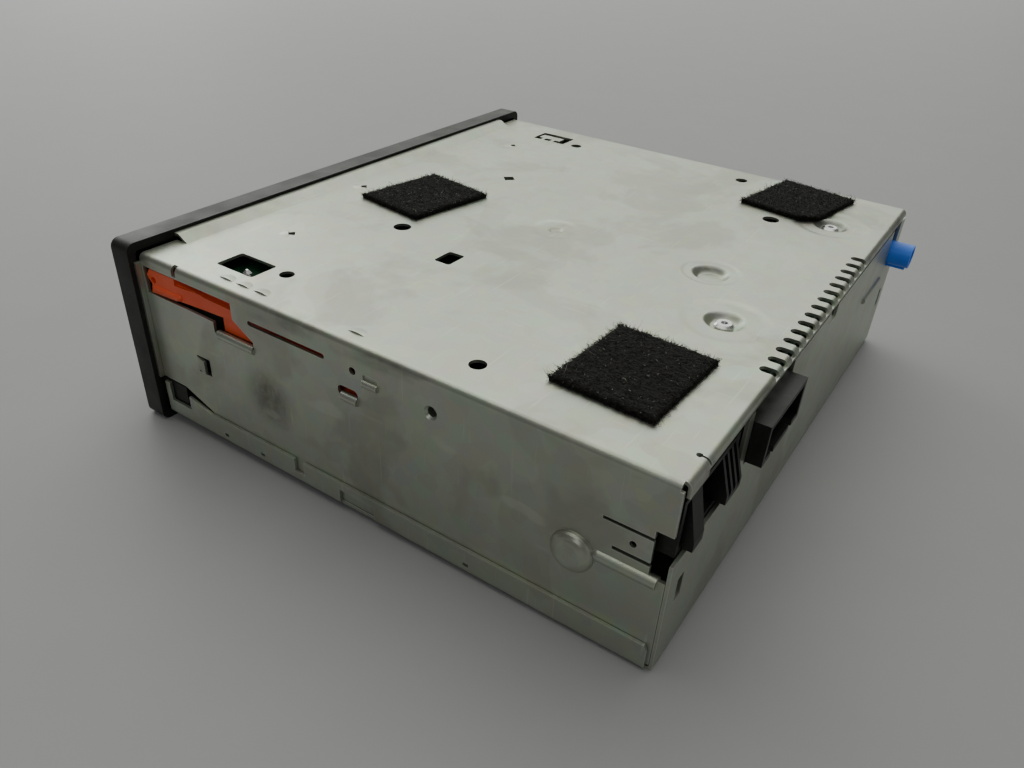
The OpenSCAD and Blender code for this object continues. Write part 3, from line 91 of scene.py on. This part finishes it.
class Graph:
    """One procedural material: a Principled shader and the nodes that feed it."""

    def __init__(self, name, **values):
        self.material = bpy.data.materials.new(name)
        self.material.use_nodes = True
        self.tree = self.material.node_tree
        self.shader = self.tree.nodes["Principled BSDF"]
        self.coords = self.tree.nodes.new("ShaderNodeTexCoord").outputs["Object"]
        for socket, value in values.items():
            self.set(socket.replace("_", " "), value)

    def set(self, socket, value):
        target = self.shader.inputs[socket]
        if isinstance(value, bpy.types.NodeSocket):
            self.tree.links.new(value, target)
        else:
            target.default_value = value

    def node(self, kind, inputs, **settings):
        made = self.tree.nodes.new(kind)
        for key, value in settings.items():
            setattr(made, key, value)
        for key, value in inputs.items():
            if isinstance(value, bpy.types.NodeSocket):
                self.tree.links.new(value, made.inputs[key])
            else:
                made.inputs[key].default_value = value
        return made

    def place(self, stretch=(1, 1, 1), shift=(0, 0, 0), turn=(0, 0, 0)):
        made = self.node(
            "ShaderNodeMapping",
            {"Vector": self.coords, "Scale": stretch, "Location": shift, "Rotation": turn},
        )
        return made.outputs["Vector"]

    def noise(self, scale, detail=2.0, rough=0.5, at=None, twist=0.0):
        made = self.node(
            "ShaderNodeTexNoise",
            {
                "Vector": at or self.coords,
                "Scale": scale,
                "Detail": detail,
                "Roughness": rough,
                "Distortion": twist,
            },
        )
        return made.outputs["Fac"]

    def cells(self, scale, at=None, feature="F1", output="Distance"):
        made = self.node(
            "ShaderNodeTexVoronoi",
            {"Vector": at or self.coords, "Scale": scale},
            feature=feature,
        )
        return made.outputs[output]

    def spot(self, centre, radius, feather):
        """1 inside a soft ball round a point, 0 outside."""
        gap = self.node("ShaderNodeVectorMath", {0: self.coords, 1: centre}, operation="DISTANCE")
        made = self.node(
            "ShaderNodeMapRange",
            {
                "Value": gap.outputs["Value"],
                "From Min": radius - feather,
                "From Max": radius + feather,
                "To Min": 1.0,
                "To Max": 0.0,
            },
            interpolation_type="SMOOTHSTEP",
        )
        return made.outputs["Result"]

    def span(self, value, low, high, to_low=0.0, to_high=1.0):
        made = self.node(
            "ShaderNodeMapRange",
            {
                "Value": value,
                "From Min": low,
                "From Max": high,
                "To Min": to_low,
                "To Max": to_high,
            },
        )
        return made.outputs["Result"]

    def math(self, kind, a, b):
        return self.node("ShaderNodeMath", {0: a, 1: b}, operation=kind).outputs["Value"]

    def mix(self, share, a, b, blend="MIX"):
        made = self.node("ShaderNodeMix", {"Factor": share}, data_type="RGBA", blend_type=blend)
        for key, value in (("A", a), ("B", b)):
            socket = next(s for s in made.inputs if s.name == key and s.type == "RGBA")
            if isinstance(value, bpy.types.NodeSocket):
                self.tree.links.new(value, socket)
            else:
                socket.default_value = value
        return next(s for s in made.outputs if s.type == "RGBA")

    def bump(self, height, depth, strength=1.0, under=None):
        inputs = {"Height": height, "Distance": depth, "Strength": strength}
        if under:
            inputs["Normal"] = under
        return self.node("ShaderNodeBump", inputs).outputs["Normal"]

    def edge(self, radius):
        """Near 1 on edges sharper than a small radius, 0 on flat faces."""
        soft = self.node("ShaderNodeBevel", {"Radius": radius}, samples=6).outputs["Normal"]
        flat = self.node("ShaderNodeNewGeometry", {}).outputs["True Normal"]
        dot = self.node("ShaderNodeVectorMath", {0: soft, 1: flat}, operation="DOT_PRODUCT")
        return self.span(dot.outputs["Value"], 0.98, 0.8)


def grey(level, tint=(1.0, 1.0, 1.0)):
    return (level * tint[0], level * tint[1], level * tint[2], 1.0)


# Materials, one per finish


def zinc_sheet():
    """Zinc-plated steel: cloudy patches, faint spangle, handling marks, and cut edges lightened
    both as worn bare metal and as a painted highlight.
    """
    g = Graph("zinc_sheet", Metallic=0.85, Specular_IOR_Level=0.40)
    tint = (0.94, 1.0, 0.85)
    cloud = g.noise(14, 3, 0.55, twist=0.6)
    base = g.mix(g.span(cloud, 0.3, 0.7), grey(0.45, tint), grey(0.51, tint))
    spangle = g.cells(260, output="Color")
    base = g.mix(0.05, base, spangle, "OVERLAY")
    stain = g.span(g.noise(30, 4, 0.6, at=g.place(shift=(0.31, 0.1, 0.7)), twist=0.4), 0.53, 0.60)
    base = g.mix(g.math("MULTIPLY", stain, 0.42), base, grey(0.31, (1.0, 0.98, 0.80)))
    tide = g.span(g.noise(22, 3, 0.5, at=g.place(shift=(0.7, 0.2, 0.1)), twist=0.8), 0.60, 0.615)
    base = g.mix(g.math("MULTIPLY", tide, 0.22), base, grey(0.32, (1.0, 0.98, 0.84)))
    height = g.node("ShaderNodeSeparateXYZ", {"Vector": g.coords}).outputs["Z"]
    band = g.math("MULTIPLY", g.span(height, *GRIME_START), g.span(height, *GRIME_END))
    streak = g.span(g.noise(70, 4, 0.65, at=g.place((1, 0.35, 1))), 0.50, 0.66)
    grime = g.math("MULTIPLY", g.math("MULTIPLY", band, streak), 0.80)
    base = g.mix(grime, base, grey(0.13, (1.0, 0.97, 0.9)))
    smudge = g.spot(SMUDGE_PLACE, SMUDGE_RADIUS, SMUDGE_FEATHER)
    smudge = g.math("MULTIPLY", smudge, g.span(g.noise(420, 4, 0.65), 0.25, 0.70, 0.45, 1.0))
    base = g.mix(g.math("MULTIPLY", smudge, 0.80), base, grey(0.14, (1.0, 0.92, 0.74)))
    scratch_a = g.noise(60, 1, 0.4, at=g.place((1, 26, 1), turn=(0.2, 0.1, 0.5)))
    scratch_b = g.noise(60, 1, 0.4, at=g.place((24, 1, 3), turn=(0.1, 0.3, 0.25)))
    lines = g.math("MAXIMUM", g.span(scratch_a, 0.70, 0.76), g.span(scratch_b, 0.71, 0.77))
    base = g.mix(g.math("MULTIPLY", lines, 0.20), base, grey(0.78, tint))
    # Edges lightened towards bright metal: partly real wear of the cut edge, partly a painted
    # highlight
    edge = g.edge(SHEET_WEAR_AND_HIGHLIGHT_EDGE)
    base = g.mix(g.math("MULTIPLY", edge, 0.55), base, grey(0.80, (0.97, 1.0, 0.93)))
    g.set("Base Color", base)
    fine = g.noise(2400, 2, 0.6)
    rough = g.span(g.noise(26, 4, 0.6), 0.3, 0.75, 0.34, 0.46)
    g.set("Roughness", g.math("ADD", rough, g.span(fine, 0.3, 0.7, -0.03, 0.03)))
    wave = g.bump(g.noise(55, 2, 0.5), 0.0004, 0.22)
    g.set("Normal", g.bump(fine, 0.00004, 0.30, under=wave))
    return g.material


def plain_metal(name, low, high, rough, tint=(1.0, 1.0, 1.0), brush=None):
    """Machined or plated metal with a fine directional grain."""
    g = Graph(name, Metallic=0.95)
    grain = g.noise(300, 3, 0.6, at=g.place(brush or (1, 1, 1)))
    cloud = g.noise(40, 3, 0.5)
    both = g.math("ADD", g.math("MULTIPLY", grain, 0.5), g.math("MULTIPLY", cloud, 0.5))
    base = g.mix(g.span(both, 0.35, 0.65), grey(low, tint), grey(high, tint))
    worn = g.math("MULTIPLY", g.edge(METAL_EDGE), 0.4)
    base = g.mix(worn, base, grey(min(1.0, high * 1.25), tint))
    g.set("Base Color", base)
    g.set("Roughness", g.span(grain, 0.25, 0.75, rough - 0.06, rough + 0.1))
    g.set("Normal", g.bump(grain, 0.00003, 0.35))
    return g.material


def moulding(name, dark, light, rough, grain_size=2600, dust=0.0, wear=0.3, level=0.5):
    """Moulded plastic with a fine spark texture, dust specks and a dust film scattered by noise,
    and rubbed edges.
    """
    g = Graph(name, Specular_IOR_Level=level)
    cloud = g.span(g.noise(45, 3, 0.6), 0.32, 0.7)
    base = g.mix(cloud, dark, light)
    if dust:
        specks = g.span(g.noise(900, 2, 0.7), 0.60, 0.72)
        film = g.span(g.noise(70, 4, 0.65), 0.45, 0.75)
        base = g.mix(g.math("MULTIPLY", specks, dust), base, grey(0.32, (1.0, 0.98, 0.92)))
        base = g.mix(g.math("MULTIPLY", film, dust * 0.4), base, grey(0.22, (1.0, 0.98, 0.94)))
    rubbed = tuple(min(1.0, 1.9 * c + 0.03) for c in light[:3]) + (1.0,)
    base = g.mix(g.math("MULTIPLY", g.edge(PLASTIC_EDGE), wear), base, rubbed)
    g.set("Base Color", base)
    grain = g.noise(grain_size, 2, 0.6)
    g.set("Roughness", g.span(g.noise(80, 3, 0.6), 0.3, 0.7, rough - 0.07, rough + 0.09))
    g.set("Normal", g.bump(grain, 0.00004, 0.4))
    return g.material


def circuit_board(name, dark, light, tracks, tin):
    """Solder mask over copper tracks, with pads of the last colour."""
    g = Graph(name, Roughness=0.34, Specular_IOR_Level=0.5)
    cloud = g.span(g.noise(60, 2, 0.5), 0.3, 0.7)
    mask = g.mix(cloud, dark, light)
    track = g.cells(330, at=g.place((1, 0.22, 1)), feature="DISTANCE_TO_EDGE")
    mask = g.mix(g.span(track, 0.05, 0.11, 0.55, 0.0), mask, tracks)
    pads = g.span(g.cells(520), 0.13, 0.18, 1.0, 0.0)
    pads = g.math("MULTIPLY", pads, g.span(g.noise(90, 1, 0.5), 0.55, 0.6))
    g.set("Base Color", g.mix(pads, mask, tin))
    g.set("Normal", g.bump(track, 0.00003, 0.3))
    return g.material


def felt():
    """Black looped felt: matted fibre with grey-brown lint."""
    g = Graph("black_felt", Roughness=0.95, Specular_IOR_Level=0.12, Sheen_Weight=0.10)
    matted = g.span(g.noise(1500, 4, 0.7), 0.32, 0.72)
    base = g.mix(matted, (0.0022, 0.0022, 0.0019, 1), (0.013, 0.0122, 0.0102, 1))
    lint = g.span(g.noise(2600, 2, 0.6), 0.66, 0.76)
    g.set("Base Color", g.mix(g.math("MULTIPLY", lint, 0.5), base, (0.10, 0.09, 0.075, 1)))
    g.set("Normal", g.bump(g.noise(1900, 3, 0.7), 0.0005, 0.9))
    return g.material


def fibre():
    """The felt's loose strands."""
    g = Graph("felt_fibre", Roughness=0.85, Specular_IOR_Level=0.25)
    pick = g.span(g.noise(900, 1, 0.5), 0.35, 0.72)
    g.set("Base Color", g.mix(pick, (0.003, 0.0028, 0.0024, 1), (0.030, 0.027, 0.021, 1)))
    return g.material


def lint():
    """Pale dust and lint caught in the felt."""
    g = Graph("felt_lint", Roughness=0.8, Specular_IOR_Level=0.3)
    pick = g.span(g.noise(420, 1, 0.5), 0.35, 0.65)
    g.set("Base Color", g.mix(pick, (0.16, 0.15, 0.13, 1), (0.62, 0.61, 0.56, 1)))
    return g.material


def smoked_glass():
    """Dark display window with a faint haze of fingerprints."""
    g = Graph("display_glass", Specular_IOR_Level=0.6, Coat_Weight=0.35)
    haze = g.noise(120, 4, 0.65)
    tone = g.span(haze, 0.3, 0.75)
    g.set("Base Color", g.mix(tone, (0.004, 0.005, 0.006, 1), (0.012, 0.014, 0.016, 1)))
    g.set("Roughness", g.span(haze, 0.35, 0.8, 0.05, 0.22))
    g.set("Normal", g.bump(g.noise(600, 2, 0.5), 0.00001, 0.15))
    return g.material


def lens_glass():
    """Objective lens with a bluish coating."""
    g = Graph("lens_glass", Roughness=0.05, Specular_IOR_Level=0.7)
    tone = g.span(g.noise(400, 2, 0.5), 0.3, 0.7)
    g.set("Base Color", g.mix(tone, (0.03, 0.05, 0.16, 1), (0.05, 0.09, 0.26, 1)))
    return g.material


FINISHES = {
    "zinc_sheet": zinc_sheet(),
    "drive_steel": plain_metal("drive_steel", 0.42, 0.52, 0.34, (1.0, 1.0, 0.97)),
    "black_panel": moulding(
        "black_panel", BLACK, SOFT_BLACK, 0.48, dust=0.07, wear=0.30, level=0.42
    ),
    "display_glass": smoked_glass(),
    "display_body": moulding("display_body", grey(0.40), grey(0.50), 0.5),
    # The board's mask and tracks are darkened close to black: partly the board's own dark green,
    # partly painted shade for the inside of the case
    "green_board": circuit_board(
        "green_board",
        (0.006, 0.032, 0.015, 1),
        (0.011, 0.052, 0.024, 1),
        (0.020, 0.095, 0.042, 1),
        (0.55, 0.54, 0.50, 1),
    ),
    "black_moulding": moulding(
        "black_moulding", BLACK, SOFT_BLACK, 0.42, dust=0.05, wear=0.2, level=0.35
    ),
    "gold_contact": plain_metal("gold_contact", 0.75, 0.9, 0.25, (1.0, 0.78, 0.40)),
    "blue_plug": moulding("blue_plug", (0.022, 0.180, 0.92, 1), (0.034, 0.245, 1.0, 1), 0.34),
    "sink_aluminium": plain_metal("sink_aluminium", 0.68, 0.80, 0.36, brush=(1, 8, 1)),
    "rubber": moulding("rubber", grey(0.014), grey(0.026), 0.78, 1800, level=0.3),
    "bright_steel": plain_metal("bright_steel", 0.62, 0.74, 0.24, brush=(6, 1, 1)),
    "lens_glass": lens_glass(),
    "ivory_gear": moulding("ivory_gear", (0.62, 0.57, 0.45, 1), (0.72, 0.68, 0.57, 1), 0.42),
    "orange_latch": moulding(
        "orange_latch",
        (0.88, 0.094, 0.027, 1),
        (0.95, 0.138, 0.042, 1),
        0.40,
        dust=0.05,
        wear=0.25,
    ),
    "black_felt": felt(),
}

SLOT_OF = {row["node"]: row["material_slot"] for row in frame["record"]["subparts"]}
for name, part in NODES.items():
    part.data.materials.clear()
    part.data.materials.append(FINISHES[SLOT_OF[name]])

# The board behind the panel is given a near-black mask, pads and all, as painted shade, so that
# the disc slot reads dark instead of showing the board through it
SHADE_BLACK_BOARD = circuit_board("painted_shade_board", grey(0.004), grey(0.007), grey(0.012), grey(0.016))
NODES["front_board"].data.materials[0] = SHADE_BLACK_BOARD

# Keys and dials are handled often, so they are smoother and a shade lighter than the panel
HANDLED = moulding(
    "black_panel_keys", grey(0.017), grey(0.026), 0.34, dust=0.03, wear=0.35, level=0.45
)
for name, slot in SLOT_OF.items():
    if slot == "black_panel" and name != "front_bezel":
        NODES[name].data.materials[0] = HANDLED


# Felt pads: place and size as in the part's source, in the case's millimetres

CASE_SHIFT = Vector((0, -72.5, 2.8))
PAD_SIZE = (30.6, 25.6)
# Middle, turn in degrees and size of the cut corner
PADS = {
    "felt_pad_front": ((7.4, 30.4), -9.0, 0.0),
    "felt_pad_left": ((-69.4, 126.0), -10.5, 5.0),
    "felt_pad_right": ((60.0, 131.5), -2.5, 0.0),
}
# Build of a pad: counts of strands, and lengths in millimetres
GRID_STEP = 0.3
FIBRES_TOP = 1700
FIBRES_EDGE = 1700
SPECKS = 130
LINT = 4
LINT_RADIUS = 0.045
LINT_TIP = 0.8
LONGEST_FIBRE = 3.6
RIM_WIDTH = 1.4
RAGGED_WIDTH = 0.9
TOP_MARGIN = 0.3
FIRST_SEED = 11
WELD_GAP = 0.02 * MM

# Order of a pad's materials after the felt itself
FIBRE_SLOT = 1
LINT_SLOT = 2


def strand(mesh, path, radius, tip=0.35, slot=FIBRE_SLOT):
    """A closed three-sided tube along a short path, thinner towards its tip."""
    rings = []
    for i, point in enumerate(path):
        ahead = path[min(i + 1, len(path) - 1)] - path[max(i - 1, 0)]
        side = ahead.orthogonal().normalized()
        other = ahead.cross(side).normalized()
        size = radius * (1 - (1 - tip) * i / (len(path) - 1))
        ring = []
        for k in range(3):
            turn = 2 * math.pi * k / 3
            spoke = math.cos(turn) * side + math.sin(turn) * other
            ring.append(mesh.verts.new(point + size * spoke))
        rings.append(ring)
    faces = [mesh.faces.new(rings[0][::-1]), mesh.faces.new(rings[-1])]
    for a, b in zip(rings, rings[1:]):
        faces += [mesh.faces.new((a[k], a[(k + 1) % 3], b[(k + 1) % 3], b[k])) for k in range(3)]
    for face in faces:
        face.smooth = True
        face.material_index = slot


def curl(draw, root, heading, length, bend, steps):
    """A path that wanders from its root as a loose fibre does."""
    path, way = [root], heading.normalized()
    for _ in range(steps):
        way = (way + Vector([draw.uniform(-bend, bend) for _ in range(3)])).normalized()
        path.append(path[-1] + way * (length / steps))
    return path


def pad_height(x, y, edge, thick):
    """Height of the matted top: full in the middle, worn down at the rim."""
    rim = min(1.0, max(0.0, edge) / RIM_WIDTH)
    lumps = noise.noise(Vector((x * 0.8, y * 0.8, 3.1))) * 0.14
    tufts = noise.noise(Vector((x * 1.9, y * 1.9, 7.7))) * 0.22
    tufts += noise.noise(Vector((x * 4.1, y * 4.1, 1.3))) * 0.14
    return thick * (0.32 + 0.44 * math.sqrt(rim)) + (lumps + tufts) * (0.5 + 0.5 * rim)


def felt_pad(node, seed):
    """A matted slab with a ragged outline, and the loose fibres on it."""
    (cx, cy), turn, cut = PADS[node]
    low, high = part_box(node)
    thick = (high.z - low.z) / MM
    half_l, half_w = PAD_SIZE[0] / 2, PAD_SIZE[1] / 2
    angle = math.radians(turn)
    draw = random.Random(seed)

    def outline(x, y):
        """Distance inside the pad's outline."""
        gap = min(half_l - abs(x), half_w - abs(y))
        return min(gap, (half_l + half_w - cut - x - y) / math.sqrt(2)) if cut else gap

    def to_part(x, y, z):
        """A place in the pad's own axes, as a point of the part in metres."""
        px = cx + x * math.cos(angle) - y * math.sin(angle)
        py = cy + x * math.sin(angle) + y * math.cos(angle)
        flat = (Vector((px, py, 0)) + CASE_SHIFT).to_2d().to_3d() * MM
        return flat + Vector((0, 0, low.z + z * MM))

    mesh = bmesh.new()
    columns = round(PAD_SIZE[0] / GRID_STEP)
    rows = round(PAD_SIZE[1] / GRID_STEP)
    tops, bottoms = [], []
    for j in range(rows + 1):
        top_row, bottom_row = [], []
        for i in range(columns + 1):
            x = -half_l + PAD_SIZE[0] * i / columns
            y = -half_w + PAD_SIZE[1] * j / rows
            over = (x + y - (half_l + half_w - cut)) / 2 if cut else 0.0
            if over > 0:
                x, y = x - over, y - over
            inside = outline(x, y)
            pull = max(0.0, RAGGED_WIDTH - inside)
            ragged = 0.35 + 0.55 * noise.noise(Vector((x * 2.2, y * 2.2, seed)))
            inward = 1 - pull * ragged / max(abs(x), abs(y), 1.0)
            tx, ty = x * inward, y * inward
            top_row.append(mesh.verts.new(to_part(tx, ty, pad_height(x, y, inside, thick))))
            bottom_row.append(mesh.verts.new(to_part(tx, ty, 0.0)))
        tops.append(top_row)
        bottoms.append(bottom_row)
    for j in range(rows):
        for i in range(columns):
            top = (tops[j][i], tops[j][i + 1], tops[j + 1][i + 1], tops[j + 1][i])
            mesh.faces.new(top)
            bottom = (bottoms[j][i], bottoms[j + 1][i], bottoms[j + 1][i + 1], bottoms[j][i + 1])
            mesh.faces.new(bottom)
    ring = [(0, i) for i in range(columns)] + [(j, columns) for j in range(rows)]
    ring += [(rows, i) for i in range(columns, 0, -1)] + [(j, 0) for j in range(rows, 0, -1)]
    for (a, b), (c, d) in zip(ring, ring[1:] + ring[:1]):
        mesh.faces.new((bottoms[a][b], bottoms[c][d], tops[c][d], tops[a][b]))
    bmesh.ops.remove_doubles(mesh, verts=mesh.verts[:], dist=WELD_GAP)
    for face in mesh.faces:
        face.smooth = True

    def on_top():
        """A random place on the pad, clear of its rim."""
        while True:
            x, y = draw.uniform(-half_l, half_l), draw.uniform(-half_w, half_w)
            if outline(x, y) > TOP_MARGIN:
                return x, y

    def turned(x, y, z):
        """A heading in the pad's own axes, turned with the pad."""
        across = x * math.cos(angle) - y * math.sin(angle)
        along = x * math.sin(angle) + y * math.cos(angle)
        return Vector((across, along, z))

    def loose(over, lift, length, bend, steps):
        """The path of one strand that lies on the matted top."""
        x, y = on_top()
        root = to_part(x, y, pad_height(x, y, outline(x, y), thick) + over)
        way = turned(draw.uniform(-1, 1), draw.uniform(-1, 1), draw.uniform(*lift))
        return curl(draw, root, way, draw.uniform(*length) * MM, bend, steps)

    for _ in range(FIBRES_TOP):
        path = loose(-0.06, (0.1, 0.75), (0.5, 1.3), 0.7, 3)
        strand(mesh, path, draw.uniform(0.035, 0.075) * MM)
    for _ in range(FIBRES_EDGE):
        along = draw.uniform(-1, 1)
        sides = [
            (along * half_l, -half_w, 0, -1),
            (along * half_l, half_w, 0, 1),
            (-half_l, along * half_w, -1, 0),
            (half_l, along * half_w, 1, 0),
        ]
        x, y, nx, ny = draw.choice(sides)
        over = (x + y - (half_l + half_w - cut)) / 2 if cut else 0.0
        if over > 0:
            x, y, nx, ny = x - over, y - over, 0.7, 0.7
        x, y = x - 0.5 * nx, y - 0.5 * ny
        root = to_part(x, y, thick * draw.uniform(0.15, 0.7))
        out_x = nx + draw.uniform(-0.6, 0.6)
        out_y = ny + draw.uniform(-0.6, 0.6)
        way = turned(out_x, out_y, draw.uniform(-0.1, 0.7))
        length = min(LONGEST_FIBRE, 0.45 + draw.expovariate(2.6))
        path = curl(draw, root, way, length * MM, 0.75, 4)
        strand(mesh, path, draw.uniform(0.035, 0.085) * MM)
    for _ in range(SPECKS):
        path = loose(0.02, (0.1, 0.6), (0.2, 0.6), 0.4, 2)
        strand(mesh, path, LINT_RADIUS * MM, LINT_TIP, LINT_SLOT)
    for _ in range(LINT):
        path = loose(-0.02, (0.15, 0.5), (1.8, 4.2), 0.45, 7)
        strand(mesh, path, LINT_RADIUS * MM, LINT_TIP, LINT_SLOT)
    data = bpy.data.meshes.new(node)
    mesh.to_mesh(data)
    mesh.free()
    data.materials.append(FINISHES["black_felt"])
    data.materials.append(FIBRE)
    data.materials.append(PALE_LINT)
    made = bpy.data.objects.new("felt_" + node.split("_")[-1], data)
    bpy.context.scene.collection.objects.link(made)
    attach(made, "case")
    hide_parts(node)


FIBRE = fibre()
PALE_LINT = lint()
for number, pad in enumerate(sorted(PADS)):
    felt_pad(pad, FIRST_SEED + number)


# Camera, floor and light


def camera():
    """The photograph's view."""
    back = Vector(
        (
            math.sin(CAMERA_AZIMUTH) * math.cos(CAMERA_ELEVATION),
            math.cos(CAMERA_AZIMUTH) * math.cos(CAMERA_ELEVATION),
            math.sin(CAMERA_ELEVATION),
        )
    )
    right = (-back).cross(Vector((0, 0, 1))).normalized()
    up = right.cross(-back)
    across = math.cos(CAMERA_ROLL) * right + math.sin(CAMERA_ROLL) * up
    above = -math.sin(CAMERA_ROLL) * right + math.cos(CAMERA_ROLL) * up
    data = bpy.data.cameras.new("camera")
    data.sensor_width = SENSOR
    data.lens = LENS
    data.clip_start = NEAR_CLIP
    made = bpy.data.objects.new("camera", data)
    turn = Matrix((across, above, back)).transposed().to_4x4()
    made.matrix_world = Matrix.Translation(CAMERA_PLACE) @ turn
    bpy.context.scene.collection.objects.link(made)
    bpy.context.scene.camera = made


def floor():
    """A pale floor under the two edges that the unit rests on."""
    slope = math.atan2(REAR_LINE[1], REAR_LINE[0] - BEZEL_LINE_Y)
    bpy.ops.mesh.primitive_plane_add(size=FLOOR_SIZE)
    made = bpy.context.object
    made.name = "floor"
    made.rotation_euler = (slope, 0, 0)
    made.location = (0, 0, -BEZEL_LINE_Y * math.tan(slope) - FLOOR_GAP)
    g = Graph("floor", Roughness=0.6, Specular_IOR_Level=0.3)
    tone = g.span(g.noise(30, 3, 0.6), 0.3, 0.7)
    tint = (0.98, 0.99, 1.0)
    g.set("Base Color", g.mix(tone, grey(0.355, tint), grey(0.365, tint)))
    made.data.materials.append(g.material)


# The key is a wide sun from above. Of the area lamps, the large panel is what the top face
# mirrors in the photograph's view, the strip gives the highlights on the right wall, and the
# other two lift the rear and the front panel.
KEY_POWER = 1.40
KEY_SPREAD = math.radians(75)
KEY_TONE = (1.0, 1.0, 0.93)
KEY_WAY = (0.25, 0.18, -1.0)
WHITE = (1, 1, 1)
# Name, place, size, power and colour
LAMPS = (
    ("fill", (0.15, 1.2, 0.5), (0.9, 0.7), 0.6, WHITE),
    ("front", (-0.40, -1.3, 0.55), (0.9, 0.7), 4.0, WHITE),
    ("strip", (0.95, 0.20, 0.85), (0.4, 0.7), 1.3, WHITE),
    ("panel", (-1.48, -0.94, 0.94), (2.6, 1.8), 16.5, (0.97, 1.0, 0.93)),
)
LAMP_AIM = (0, 0, 0.02)
SKY_TONE = (0.94, 0.95, 0.93, 1)
SKY_POWER = 0.11


def facing(way):
    """The turn that points a light along a direction."""
    return Vector(way).to_track_quat("-Z", "Y").to_euler()


def lamp(name, place, size, power, tone):
    """A rectangular area lamp that the camera doesn't see."""
    data = bpy.data.lights.new(name, "AREA")
    data.shape = "RECTANGLE"
    data.size, data.size_y = size
    data.energy = power
    data.color = tone
    made = bpy.data.objects.new(name, data)
    made.location = place
    made.visible_camera = False
    made.rotation_euler = facing(Vector(LAMP_AIM) - Vector(place))
    bpy.context.scene.collection.objects.link(made)


def studio():
    """The key, the area lamps and a weak even sky."""
    data = bpy.data.lights.new("key", "SUN")
    data.energy = KEY_POWER
    data.angle = KEY_SPREAD
    data.color = KEY_TONE
    key = bpy.data.objects.new("key", data)
    key.rotation_euler = facing(KEY_WAY)
    bpy.context.scene.collection.objects.link(key)
    for row in LAMPS:
        lamp(*row)
    world = bpy.data.worlds.new("studio")
    world.use_nodes = True
    sky = world.node_tree.nodes["Background"]
    sky.inputs["Color"].default_value = SKY_TONE
    sky.inputs["Strength"].default_value = SKY_POWER
    bpy.context.scene.world = world


camera()
floor()
studio()
